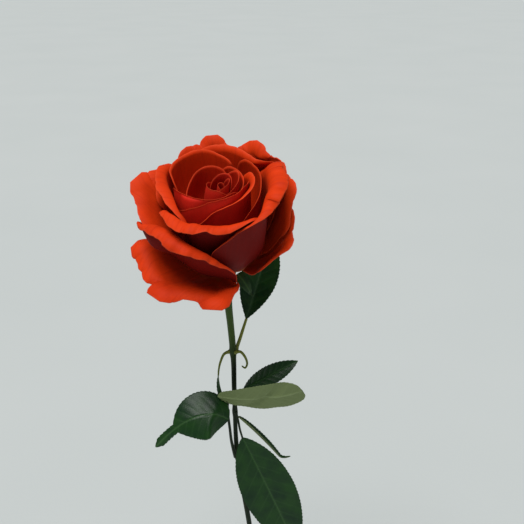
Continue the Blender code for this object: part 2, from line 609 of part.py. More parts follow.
def hip_profile():
    """Down the outside of the hip from the middle of its top: rim, waist, cup and the stem's end."""
    stem_top = STEM_RISE[-1][3] * MM
    rim = -SEAT_CONE_SLOPE * HIP_RIM_RADIUS
    return [
        (0, 0),
        (HIP_RIM_RADIUS, rim),
        (HIP_RIM_RADIUS, rim - 0.06 * HIP_HEIGHT),
        (HIP_RADIUS, rim - 0.3 * HIP_HEIGHT),
        (HIP_RADIUS * 0.98, rim - 0.5 * HIP_HEIGHT),
        (HIP_RADIUS * 0.78, rim - 0.78 * HIP_HEIGHT),
        (stem_top, rim - HIP_HEIGHT),
        (0, rim - HIP_HEIGHT),
    ]


# ---------------------------------------------------------------- the whole
def main():
    rose = emptied_scene()
    petal_red = material("petal_red", (0.58, 0.035, 0.008), 0.55)
    leaf_green = material("leaf_green", (0.006, 0.035, 0.008), 0.4)
    stem_green = material("stem_green", (0.02, 0.045, 0.01), 0.5)
    vase_glaze = material("vase_glaze", (0.68, 0.68, 0.64), 0.2)

    turned(rose, "vase", vase_profile(), VASE_STEPS, vase_glaze)

    stem = stem_line()
    tube(rose, "stem", stem[:, :3], stem[:, 3], 2, stem_green)
    for stalk in STALKS:
        line = stalk_line(stalk, stem)
        tube(rose, stalk.name, line[:, :3], line[:, 3], 1, stem_green)

    for blade in BLADES:
        net = blade_points(*blade[1:]) * MM + mouth_point()
        sheet(rose, blade.name, net, LEAF_THICKNESS, leaf_green)

    bloom = bloom_frame()
    turned(rose, "hip", hip_profile(), 14, stem_green, bloom)
    for number, direction in enumerate(SEPAL_DIRECTIONS, 1):
        sheet(rose, f"sepal_{number}", sepal_points(direction), LEAF_THICKNESS, leaf_green, bloom)

    lift = Matrix.Translation((0, 0, CLEARANCE + PETAL_THICKNESS / 2))
    for number, net in enumerate(nested_petals(), 1):
        kept = bloom_points(net)[KEPT_ROWS][:, ::KEPT_COLUMN_STEP]
        sheet(rose, f"petal_{number:02d}", kept, PETAL_THICKNESS, petal_red, bloom @ lift)


main()
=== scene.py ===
"""The looks of a cut rose in a bud vase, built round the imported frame.

Everything is in metres in the frame's own axes: +Z is up, -Y is the front and the origin is the
middle of the vase's foot. Shapes are numpy surfaces: a net of points over two parameters, or a
profile carried along a path. The petals are worked out from the innermost outwards, and each is
pushed out until it clears those inside it, as petals lie on the plant.
"""

from __future__ import annotations

import logging
import math
from dataclasses import dataclass, field
from enum import Enum

import bpy
import numpy as np
from mathutils import Matrix, Vector


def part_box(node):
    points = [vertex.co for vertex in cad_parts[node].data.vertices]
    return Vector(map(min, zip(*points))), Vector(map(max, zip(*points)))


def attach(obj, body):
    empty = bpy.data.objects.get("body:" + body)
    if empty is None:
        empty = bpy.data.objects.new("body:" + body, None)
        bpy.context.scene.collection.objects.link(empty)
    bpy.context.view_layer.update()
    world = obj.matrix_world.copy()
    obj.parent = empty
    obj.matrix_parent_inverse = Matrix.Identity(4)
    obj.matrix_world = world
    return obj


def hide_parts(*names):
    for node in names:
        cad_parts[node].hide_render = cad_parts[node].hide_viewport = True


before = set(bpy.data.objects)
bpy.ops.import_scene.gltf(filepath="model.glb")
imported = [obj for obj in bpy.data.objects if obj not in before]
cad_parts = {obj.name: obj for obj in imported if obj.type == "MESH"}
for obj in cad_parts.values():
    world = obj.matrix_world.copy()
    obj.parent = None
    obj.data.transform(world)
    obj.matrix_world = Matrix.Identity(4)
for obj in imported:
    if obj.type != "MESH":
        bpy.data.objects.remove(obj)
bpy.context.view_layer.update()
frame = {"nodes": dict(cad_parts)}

BODY = "root"
MM = 0.001
AIM_RIGHT = -3.364 * MM
AIM_ABOVE_VASE = 222.19 * MM
Array = np.ndarray
Inputs = dict[object, object]
Point = tuple[float, float, float]
Marks = tuple[Point, ...]
Rim = tuple[tuple[float, float, float, float], ...]
Tree = bpy.types.NodeTree
Socket = bpy.types.NodeSocket

log = logging.getLogger("rose")


# ---------------------------------------------------------------- shape helpers
def unit(vectors: Array) -> Array:
    """Vectors scaled to length one along the last axis."""
    return vectors / np.maximum(np.linalg.norm(vectors, axis=-1, keepdims=True), 1e-12)


def from_polar(radius: Array, direction: Array, height: Array) -> Array:
    """Points from radii, directions in radians and heights."""
    return np.stack([radius * np.cos(direction), radius * np.sin(direction), height], axis=-1)


def smooth_path(points: Array, each: int) -> Array:
    """A Catmull-Rom curve through rows of numbers.

    Each stretch is the cubic that passes its two ends with the slopes that their neighbours give.

    Args:
        points: rows of numbers, such as x, y, z and radius.
        each: how many parts each stretch is cut into.

    Returns:
        The finer rows, ends included.
    """
    points = np.asarray(points, float)
    padded = np.vstack([2 * points[0] - points[1], points, 2 * points[-1] - points[-2]])
    a, b, c, d = (padded[i : len(padded) - 3 + i, None] for i in range(4))
    t = np.linspace(0, 1, each, endpoint=False)[None, :, None]
    square, cube = (2 * a - 5 * b + 4 * c - d) * t**2, (3 * b - a - 3 * c + d) * t**3
    curve = 0.5 * (2 * b + (c - a) * t + square + cube)
    return np.vstack([curve.reshape(-1, points.shape[1]), points[-1:]])


def ripple(share: Array, seed: int, slowest: float, fastest: float) -> Array:
    """A smooth seeded unevenness: five sines between two frequencies, the faster the weaker.

    Args:
        share: where along the edge, in the unit that the frequencies count.
        seed: which unevenness.
        slowest: the lowest number of waves for each unit.
        fastest: the highest number of waves for each unit.

    Returns:
        Numbers about between -1 and 1.
    """
    draw = np.random.default_rng(seed)
    rates = np.geomspace(slowest, fastest, 5)
    phases = draw.uniform(0, 2 * math.pi, 5)
    weights = draw.uniform(0.6, 1.0, 5) * (rates[0] / rates) ** 0.7
    waves = weights * np.sin(2 * math.pi * rates * np.asarray(share)[..., None] + phases)
    return waves.sum(axis=-1) / weights.sum()


def net_lengths(points: Array) -> tuple[Array, Array]:
    """How far each point of a net is along its own row and its own column, in metres.

    Args:
        points: a net of shape (rows, columns, 3).

    Returns:
        Lengths across, from the first column, and lengths along, from the first row.
    """
    across = np.linalg.norm(np.diff(points, axis=1), axis=-1)
    along = np.linalg.norm(np.diff(points, axis=0), axis=-1)
    across = np.concatenate([np.zeros((points.shape[0], 1)), across.cumsum(axis=1)], axis=1)
    along = np.concatenate([np.zeros((1, points.shape[1])), along.cumsum(axis=0)], axis=0)
    return across, along


# ---------------------------------------------------------------- meshes
@dataclass
class Skin:
    """A mesh in the making: points, faces, and numbers that its points carry for the materials.

    A face with three corners repeats its last one in the fourth column.
    """

    points: Array
    faces: Array
    marks: dict[str, Array] = field(default_factory=dict)
    uv: Array | None = None

    def piece(self, name: str, material: bpy.types.Material) -> bpy.types.Object:
        """Makes the object.

        Args:
            name: the object's name.
            material: its one material.

        Returns:
            The object, at the origin, in the scene.
        """
        mesh = bpy.data.meshes.new(name)
        sizes = np.where(self.faces[:, 2] == self.faces[:, 3], 3, 4)
        corner_used = np.arange(4)[None, :] < sizes[:, None]
        corners = self.faces[corner_used].astype(np.int32)
        mesh.vertices.add(len(self.points))
        mesh.vertices.foreach_set("co", self.points.astype(np.float32).ravel())
        mesh.loops.add(len(corners))
        mesh.loops.foreach_set("vertex_index", corners)
        mesh.polygons.add(len(sizes))
        starts = np.concatenate([[0], np.cumsum(sizes)[:-1]]).astype(np.int32)
        mesh.polygons.foreach_set("loop_start", starts)
        mesh.polygons.foreach_set("use_smooth", np.ones(len(sizes), bool))
        mesh.update(calc_edges=True)
        if self.uv is not None:
            layer = mesh.uv_layers.new(name="skin")
            layer.uv.foreach_set("vector", self.uv[corners].astype(np.float32).ravel())
        for mark, values in self.marks.items():
            attribute = mesh.attributes.new(mark, "FLOAT", "POINT")
            attribute.data.foreach_set("value", values.astype(np.float32).ravel())
        mesh.validate()
        mesh.materials.append(material)
        obj = bpy.data.objects.new(name, mesh)
        bpy.context.scene.collection.objects.link(obj)
        return obj


def closed_sheet(points: Array, thickness: Array, marks: dict[str, Array]) -> Skin:
    """A thin closed body on a net: its two faces stand half a thickness off it, joined at the edge.

    The mark "outer" is 1 on the face that the net's normal, columns cross rows, points out of.

    Args:
        points: the middle surface, of shape (rows, columns, 3).
        thickness: the thickness at each point, of shape (rows, columns).
        marks: numbers for each point, of shape (rows, columns).

    Returns:
        The skin, with a UV map in metres along its rows and columns.
    """
    rows, columns = points.shape[:2]
    normal = unit(np.cross(np.gradient(points, axis=1), np.gradient(points, axis=0)))
    half = normal * thickness[..., None] / 2
    top = np.arange(rows * columns).reshape(rows, columns)
    bottom = top + rows * columns
    quads = np.stack([top[:-1, :-1], top[:-1, 1:], top[1:, 1:], top[1:, :-1]], axis=-1).reshape(-1, 4)
    edge = np.concatenate([top[0, :-1], top[:-1, -1], top[-1, :0:-1], top[:0:-1, 0]])
    after = np.roll(edge, -1)
    rim = np.stack([edge, bottom.ravel()[edge], bottom.ravel()[after], after], axis=-1)
    faces = np.concatenate([quads, quads[:, ::-1] + rows * columns, rim])
    across, along = net_lengths(points)
    uv = np.stack([across - across[:, -1:] / 2, along], axis=-1).reshape(-1, 2)
    both = {name: np.concatenate([values.ravel()] * 2) for name, values in marks.items()}
    both["outer"] = np.repeat([1.0, 0.0], rows * columns)
    walls = np.concatenate([points + half, points - half]).reshape(-1, 3)
    return Skin(walls, faces, both, np.tile(uv, (2, 1)))


def tube(path: Array, radii: Array, sides: int, marks: dict[str, Array] | None = None) -> Skin:
    """A round body carried along a path: rings square to it, and a point closing each end.

    Each ring is turned about the path so that it starts from the same side, away from the front.

    Args:
        path: places along the middle, of shape (rings, 3).
        radii: the radius of each ring, or of each point of it, of shape (rings,) or (rings, sides).
        sides: how many sides the body has.
        marks: numbers for each ring.

    Returns:
        The skin.
    """
    way = unit(np.gradient(path, axis=0))
    first = unit(np.array([0.0, 1.0, 0.0]) - way * way[:, 1:2])
    second = np.cross(way, first)
    turn = np.linspace(0, 2 * math.pi, sides, endpoint=False)
    out = first[:, None] * np.cos(turn)[None, :, None] + second[:, None] * np.sin(turn)[None, :, None]
    radii = np.broadcast_to(radii.reshape(len(path), -1), (len(path), sides))
    rings = path[:, None] + out * radii[..., None]
    ring_marks = {name: np.repeat(values, sides) for name, values in (marks or {}).items()}
    return ringed(rings, path[0], path[-1], ring_marks)


def joined(skins: list[Skin]) -> Skin:
    """Several closed bodies without marks as one skin."""
    starts = np.cumsum([0] + [len(skin.points) for skin in skins])
    faces = np.concatenate([skin.faces + start for skin, start in zip(skins, starts)])
    return Skin(np.concatenate([skin.points for skin in skins]), faces)


def ringed(rings: Array, first_end: Array, last_end: Array, marks: dict[str, Array]) -> Skin:
    """Closed rings joined in turn, with a fan of three-sided faces to a point at each end.

    Args:
        rings: of shape (rings, sides, 3), running anticlockwise seen from the last ring.
        first_end: the point that closes the first ring.
        last_end: the point that closes the last ring.
        marks: numbers for each ring's points, flat.

    Returns:
        The skin.
    """
    count, sides = rings.shape[:2]
    index = np.arange(count * sides).reshape(count, sides)
    following = np.roll(index, -1, axis=1)
    walls = np.stack([index[:-1], following[:-1], following[1:], index[1:]], axis=-1).reshape(-1, 4)
    low, high = np.full(sides, count * sides), np.full(sides, count * sides + 1)
    low_fan = np.stack([following[0], index[0], low, low], axis=-1)
    high_fan = np.stack([index[-1], following[-1], high, high], axis=-1)
    ends = {name: np.append(values, [values[0], values[-1]]) for name, values in marks.items()}
    points = np.concatenate([rings.reshape(-1, 3), [first_end, last_end]])
    return Skin(points, np.concatenate([walls, low_fan, high_fan]), ends)


def turned(profile: Array, steps: int, frame_matrix: Matrix | None = None) -> Skin:
    """A body of revolution about Z: the profile (radius, height) is carried round the axis.

    The profile starts and ends on the axis, and its two end points close the body.

    Args:
        profile: rows of radius and height, in metres, running up the side whose faces look in.
        steps: how many steps there are round.
        frame_matrix: where the axis stands, if it isn't the world's Z.

    Returns:
        The skin.
    """
    turn = np.linspace(0, 2 * math.pi, steps, endpoint=False)
    inner = profile[1:-1]
    rings = from_polar(inner[:, :1], turn, np.repeat(inner[:, 1:], steps, axis=1))
    ends = [np.array([0, 0, profile[i][1]]) for i in (0, -1)]
    skin = ringed(rings[::-1], ends[1], ends[0], {})
    if frame_matrix is not None:
        skin.points = in_frame(skin.points, frame_matrix)
    return skin


def in_frame(points: Array, matrix: Matrix) -> Array:
    """Points given in a frame of their own, as points of the world."""
    whole = np.array(matrix)
    return points @ whole[:3, :3].T + whole[:3, 3]


# ---------------------------------------------------------------- materials
def linear(colour: str) -> tuple[float, float, float, float]:
    """A linear colour with alpha from an sRGB hex value such as "d93a10"."""
    parts = [int(colour[i : i + 2], 16) / 255 for i in (0, 2, 4)]
    return (*(c / 12.92 if c <= 0.04045 else ((c + 0.055) / 1.055) ** 2.4 for c in parts), 1.0)


def feed(node: bpy.types.Node, inputs: Inputs) -> None:
    """Fills a node's sockets.

    Args:
        node: the node.
        inputs: what goes in each socket, by its name or number: a value, another node's output, or a
            node, which stands for its first output.
    """
    for socket, value in inputs.items():
        if isinstance(value, bpy.types.Node):
            value = value.outputs[0]
        if isinstance(value, Socket):
            node.id_data.links.new(value, node.inputs[socket])
        else:
            node.inputs[socket].default_value = value


def add_node(tree: Tree, kind: str, inputs: Inputs, **settings: object) -> bpy.types.Node:
    """Adds a node to a tree.

    Args:
        tree: the tree.
        kind: the node's type, without the word ShaderNode.
        inputs: what goes in its sockets, as feed takes it.
        settings: properties to set on it.

    Returns:
        The node.
    """
    node = tree.nodes.new("ShaderNode" + kind)
    for name, value in settings.items():
        setattr(node, name, value)
    feed(node, inputs)
    return node


MIX_SHARE, MIX_FIRST, MIX_SECOND, MIX_RESULT = 0, 6, 7, 2


def layered(tree: Tree, colour: object, *layers: tuple[object, object]) -> Socket:
    """Lays colours over one another.

    Args:
        tree: the tree.
        colour: the lowest colour, as a hex value or a socket.
        layers: the share that each next colour covers, and that colour.

    Returns:
        The socket with the colour that is seen.
    """
    for share, over in layers:
        first, second = (linear(c) if isinstance(c, str) else c for c in (colour, over))
        inputs = {MIX_SHARE: share, MIX_FIRST: first, MIX_SECOND: second}
        colour = add_node(tree, "Mix", inputs, data_type="RGBA").outputs[MIX_RESULT]
    return colour


@dataclass(frozen=True)
class Finish:
    """What every finish has: a name, and a way to make its material."""

    name: str

    def material(self) -> bpy.types.Material:
        """Builds the material."""
        material = bpy.data.materials.new(self.name)
        material.use_nodes = True
        tree = material.node_tree
        where = add_node(tree, "TexCoord", {}).outputs
        feed(tree.nodes["Principled BSDF"], self.sockets(tree, where))
        return material

    def sockets(self, tree: Tree, where: bpy.types.NodeOutputs) -> Inputs:
        """What goes in the shader's sockets. Each finish gives its own."""
        raise NotImplementedError


@dataclass(frozen=True)
class PetalFinish(Finish):
    """Rose petal: thin living tissue whose tiny domed cells make it velvety.

    The inner face is a warm orange-red where it has been in the light, and crimson in the heart,
    and the outer face is a dark crimson: partly the petal's own deeper reverse and partly painted
    shade, for the outer faces that turn from the lamp. The margin is thin, so it is painted paler:
    partly its own paler tissue and partly painted light, for the light that shows through the thin
    edge. The claw at the base is pale. Fine veins run from the base to the rim.
    """

    name: str = "velvety_rose_petal"
    inner: str = "dc3a0c"
    heart: str = "cf2618"
    # outer: the reverse's dark crimson, partly its own deeper tone and partly painted shade for the
    # outer faces turned from the lamp
    outer: str = "70100c"
    # margin: the paler edge colour, partly the thin tissue's own and partly painted light showing
    # through the thin edge
    margin: str = "e4552f"
    claw: str = "c9803f"
    shade: str = "8c0f06"
    bloom: str = "ff8a5c"
    roughness: float = 0.62
    vein_spacing: float = 1.1 * MM
    vein_length: float = 22 * MM
    vein_depth: float = 0.1 * MM
    blotch: float = 14 * MM

    def sockets(self, tree: Tree, where: bpy.types.NodeOutputs) -> Inputs:
        """Reads the marks outer, young, margin and claw, and the UV map."""
        outer, margin, claw, young = (
            add_node(tree, "Attribute", {}, attribute_name=mark).outputs["Fac"]
            for mark in ("outer", "margin", "claw", "young")
        )
        stretch = (1 / self.vein_spacing, 1 / self.vein_length, 0)
        along = add_node(tree, "Mapping", {"Vector": where["UV"], "Scale": stretch})
        veins = add_node(
            tree, "TexNoise", {"Vector": along, "Scale": 0.5, "Detail": 3.0, "Roughness": 0.55}
        )
        blotches = add_node(
            tree, "TexNoise", {"Vector": where["Object"], "Scale": 1 / self.blotch, "Detail": 2.0}
        )
        in_heart = add_node(tree, "MapRange", {"Value": young, "From Min": 0.68, "From Max": 0.92})
        shaded = add_node(tree, "MapRange", {"Value": young, "From Min": 0.45, "From Max": 0.62})
        patchy = add_node(
            tree, "MapRange", {"Value": blotches, "From Min": 0.45, "From Max": 0.75, "To Max": 0.35}
        )
        streaks = add_node(
            tree, "MapRange", {"Value": veins, "From Min": 0.5, "From Max": 0.8, "To Max": 0.3}
        )
        inner = layered(tree, self.inner, (in_heart, self.heart))
        # the outer petals' backs take the dark outer colour, partly painted shade; the heart's petals
        # take the heart colour
        back = layered(tree, self.outer, (shaded, self.heart))
        return {
            # the margin's paler colour on top is partly painted light showing through the thin edge
            "Base Color": layered(
                tree, inner, (outer, back), (patchy, self.shade), (streaks, self.shade),
                (claw, self.claw), (margin, self.margin),
            ),
            "Normal": add_node(
                tree, "Bump", {"Strength": 1.0, "Distance": self.vein_depth, "Height": veins}
            ),
            "Roughness": self.roughness,
            "IOR": 1.4,
            "Specular IOR Level": 0.14,
            "Sheen Weight": 0.03,
            "Sheen Roughness": 0.45,
            "Sheen Tint": linear(self.bloom),
        }


@dataclass(frozen=True)
class LeafFinish(Finish):
    """Rose leaf: a waxy dark upper face with sunken veins, and a matt pale under face.

    The wax gives soft broad highlights, and the veins are a little paler than the blade.
    """

    upper: str = "183c12"
    upper_dark: str = "0a2a12"
    vein: str = "3a5c30"
    under: str = "768455"
    under_vein: str = "8b9a6c"
    upper_roughness: float = 0.36
    under_roughness: float = 0.7
    blotch: float = 9 * MM
    grain: float = 0.6 * MM
    grain_depth: float = 0.04 * MM
    gloss: float = 0.3

    def sockets(self, tree: Tree, where: bpy.types.NodeOutputs) -> Inputs:
        """Reads the marks outer and vein. The outer face is the upper."""
        outer, vein = (
            add_node(tree, "Attribute", {}, attribute_name=mark).outputs["Fac"]
            for mark in ("outer", "vein")
        )
        blotches = add_node(
            tree, "TexNoise", {"Vector": where["Object"], "Scale": 1 / self.blotch, "Detail": 3.0}
        )
        cells = add_node(tree, "TexVoronoi", {"Vector": where["Object"], "Scale": 1 / self.grain})
        patchy = add_node(tree, "MapRange", {"Value": blotches, "From Min": 0.35, "From Max": 0.7})
        upper = layered(tree, self.upper, (patchy, self.upper_dark), (vein, self.vein))
        under = layered(tree, self.under, (vein, self.under_vein))
        ends = {"To Min": self.under_roughness, "To Max": self.upper_roughness}
        return {
            "Base Color": layered(tree, under, (outer, upper)),
            "Roughness": add_node(tree, "MapRange", {"Value": outer, **ends}),
            "Normal": add_node(
                tree, "Bump", {"Strength": 1.0, "Distance": self.grain_depth, "Height": cells}
            ),
            "IOR": 1.45,
            "Specular IOR Level": self.gloss,
        }


@dataclass(frozen=True)
class StalkFinish(Finish):
    """Green stem: smooth bark with long fibres and small pale pores, paler where it is young.

    The old colour is at the height low, and the young one at high.
    """

    young: str
    old: str
    pore: str
    low: float
    high: float
    roughness: float = 0.55
    fibre: float = 0.7 * MM
    fibre_length: float = 9 * MM
    fibre_depth: float = 0.08 * MM

    def sockets(self, tree: Tree, where: bpy.types.NodeOutputs) -> Inputs:
        """Works in height and along the fibres."""
        height = add_node(tree, "SeparateXYZ", {0: where["Object"]}).outputs["Z"]
        age = add_node(tree, "MapRange", {"Value": height, "From Min": self.low, "From Max": self.high})
        stretch = (1 / self.fibre, 1 / self.fibre, 1 / self.fibre_length)
        along = add_node(tree, "Mapping", {"Vector": where["Object"], "Scale": stretch})
        fibres = add_node(tree, "TexNoise", {"Vector": along, "Scale": 1.0, "Detail": 3.0})
        pores = add_node(tree, "TexNoise", {"Vector": along, "Scale": 1.7, "Detail": 1.0})
        speckled = add_node(
            tree, "MapRange", {"Value": pores, "From Min": 0.6, "From Max": 0.72, "To Max": 0.5}
        )
        return {
            "Base Color": layered(tree, self.old, (age, self.young), (speckled, self.pore)),
            "Normal": add_node(
                tree, "Bump", {"Strength": 1.0, "Distance": self.fibre_depth, "Height": fibres}
            ),
            "Roughness": self.roughness,
            "Specular IOR Level": 0.25,
        }


@dataclass(frozen=True)
class GlazeFinish(Finish):
    """Glazed stoneware: thrown on a wheel, so it has faint rings, under a pale glossy glaze.

    The glaze is specked where iron in the clay shows through, and stops short of the foot, which is
    bare and matt.
    """

    name: str = "glazed_stoneware"
    glaze: str = "e6e4dc"
    pooled: str = "cfd3cc"
    speck: str = "8d7a62"
    bare: str = "b9a48a"
    roughness: float = 0.16
    bare_roughness: float = 0.85
    glaze_starts: float = 1.6 * MM
    edge_wobble: float = 1.2 * MM
    ring_spacing: float = 5 * MM
    ring_depth: float = 0.12 * MM
    speck_spacing: float = 2.4 * MM

    def sockets(self, tree: Tree, where: bpy.types.NodeOutputs) -> Inputs:
        """Works in height above the foot, and in space for the specks."""
        height = add_node(tree, "SeparateXYZ", {0: where["Object"]}).outputs["Z"]
        wobble = add_node(tree, "TexNoise", {"Vector": where["Object"], "Scale": 60.0, "Detail": 2.0})
        edge = add_node(
            tree, "Math", {0: wobble, 1: -self.edge_wobble, 2: height}, operation="MULTIPLY_ADD"
        )
        starts = {"From Min": self.glaze_starts - 0.9 * MM, "From Max": self.glaze_starts - 0.5 * MM}
        glazed = add_node(tree, "MapRange", {"Value": edge, **starts})
        flat = (0.0, 0.0, 1 / self.ring_spacing)
        level = add_node(tree, "Mapping", {"Vector": where["Object"], "Scale": flat})
        rings = add_node(tree, "TexNoise", {"Vector": level, "Scale": 1.0, "Detail": 2.0})
        specks = add_node(
            tree, "TexVoronoi", {"Vector": where["Object"], "Scale": 1 / self.speck_spacing}
        )
        spot = add_node(
            tree, "MapRange", {"Value": specks, "From Min": 0.16, "From Max": 0.1, "To Max": 0.55}
        )
        pooled = add_node(
            tree, "MapRange", {"Value": rings, "From Min": 0.4, "From Max": 0.65, "To Max": 0.5}
        )
        specked = layered(tree, self.glaze, (pooled, self.pooled), (spot, self.speck))
        ends = {"To Min": self.bare_roughness, "To Max": self.roughness}
        return {
            "Base Color": layered(tree, self.bare, (glazed, specked)),
            "Roughness": add_node(tree, "MapRange", {"Value": glazed, **ends}),
            "Normal": add_node(
                tree, "Bump", {"Strength": 1.0, "Distance": self.ring_depth, "Height": rings}
            ),
            "IOR": 1.5,
        }


@dataclass(frozen=True)
class FloorFinish(Finish):
    """Pale painted board: matt, with the faint unevenness of a roller."""

    name: str = "painted_board"
    paint: str = "c9cdcb"
    paint_low: str = "c3c8c6"
    roughness: float = 0.9
    patch: float = 350 * MM
    nap: float = 4 * MM
    nap_depth: float = 0.1 * MM

    def sockets(self, tree: Tree, where: bpy.types.NodeOutputs) -> Inputs:
        """Works in space."""
        patches, nap = (
            add_node(tree, "TexNoise", {"Vector": where["Object"], "Scale": 1 / size, "Detail": detail})
            for size, detail in ((self.patch, 2.0), (self.nap, 3.0))
        )
        return {
            "Base Color": layered(tree, self.paint, (patches, self.paint_low)),
            "Normal": add_node(
                tree, "Bump", {"Strength": 1.0, "Distance": self.nap_depth, "Height": nap}
            ),
            "Roughness": self.roughness,
        }


class Slot(Enum):
    """The record's material slots."""

    PETAL = "petal"
    LEAF = "leaf"
    LEAF_UNDERSIDE = "leaf_underside"
    STEM = "stem"
    YOUNG_STALK = "young_stalk"
    VASE = "vase"


def stand_for(piece: bpy.types.Object, node: str) -> None:
    """Makes a piece ride with the object, in place of one solid of the frame.

    Args:
        piece: the finished piece.
        node: the solid that it stands for.
    """
    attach(piece, BODY)
    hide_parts(node)
    log.info("%s: %d points", piece.name, len(piece.data.vertices))


# ---------------------------------------------------------------- vase
@dataclass
class Vase:
    """The bud vase: a round foot and belly, a shoulder, a straight neck and a flared lip."""

    height: float = 160 * MM
    foot_radius: float = 27 * MM
    foot_round: float = 2 * MM
    belly_radius: float = 36 * MM
    belly_rise: float = 46 * MM
    bore: float = 8.5 * MM
    neck_length: float = 52 * MM
    lip_depth: float = 12 * MM
    lip_flare: float = 4.5 * MM
    wall: float = 3.2 * MM
    floor: float = 6 * MM
    steps: int = 128
    finish: GlazeFinish = GlazeFinish()

    def outer_radius(self, z: Array) -> Array:
        """The outside's radius at a height.

        The belly swells from the foot as a quarter sine. The shoulder is half a cosine wave from the
        belly to the neck, and the lip flares from the neck with the square of the rise.

        Args:
            z: heights above the foot.

        Returns:
            The radius at each.
        """
        neck = self.bore + self.wall
        neck_start = self.height - self.neck_length
        lip_start = self.height - self.lip_depth
        belly = np.sin(np.clip(z / self.belly_rise, 0, 1) * math.pi / 2)
        shoulder = np.clip((z - self.belly_rise) / (neck_start - self.belly_rise), 0, 1)
        low = self.foot_radius + (self.belly_radius - self.foot_radius) * belly
        high = self.belly_radius + (neck - self.belly_radius) * (1 - np.cos(math.pi * shoulder)) / 2
        flare = self.lip_flare * (np.clip(z - lip_start, 0, None) / self.lip_depth) ** 2
        return np.where(z <= self.belly_rise, low, high) + flare

    def profile(self) -> Array:
        """Rows of radius and height: up the inside, over the rounded lip, down and under the foot."""
        heights = np.linspace(self.floor + self.wall, self.height - self.wall / 2, 110)
        inside = np.column_stack([self.outer_radius(heights) - self.wall, heights])
        outer_heights = np.linspace(self.height - self.wall / 2, self.foot_round, 120)
        outside = np.column_stack([self.outer_radius(outer_heights), outer_heights])
        over = np.linspace(0, math.pi, 12)[1:-1]
        half = self.wall / 2
        lip_radii = inside[-1, 0] + half - half * np.cos(over)
        lip = np.column_stack([lip_radii, heights[-1] + half * np.sin(over)])
        corner = np.linspace(0, math.pi / 2, 7)
        in_turn, up_turn = 1 - np.sin(corner), 1 - np.cos(corner)
        hollow_radii = inside[0, 0] - self.wall * in_turn
        hollow = np.column_stack([hollow_radii, self.floor + self.wall * up_turn])[:-1]
        foot_edge = outside[-1, 0] - self.foot_round * up_turn
        under = np.column_stack([foot_edge, self.foot_round * in_turn])[1:]
        return np.vstack([[0, self.floor], hollow, inside, lip, outside, under, [0, 0]])

    def build(self) -> None:
        """Makes the vase."""
        piece = turned(self.profile(), self.steps).piece("vase_pot", self.finish.material())
        stand_for(piece, "vase")


# ---------------------------------------------------------------- stem and stalks
@dataclass(frozen=True)
class Stalk:
    """A petiole, stipule or leaf's middle stalk, in millimetres and degrees.

    It leaves the stem at a height above the vase's mouth, in a direction, and passes its points.
    Its twigs are the short stalks of leaflets, each from inside the bark to the leaflet's base.
    """

    name: str
    height: float
    direction: float
    first_radius: float
    last_radius: float
    points: tuple[Point, ...]
    slot: Slot
    twigs: tuple[tuple[Point, ...], ...] = ()


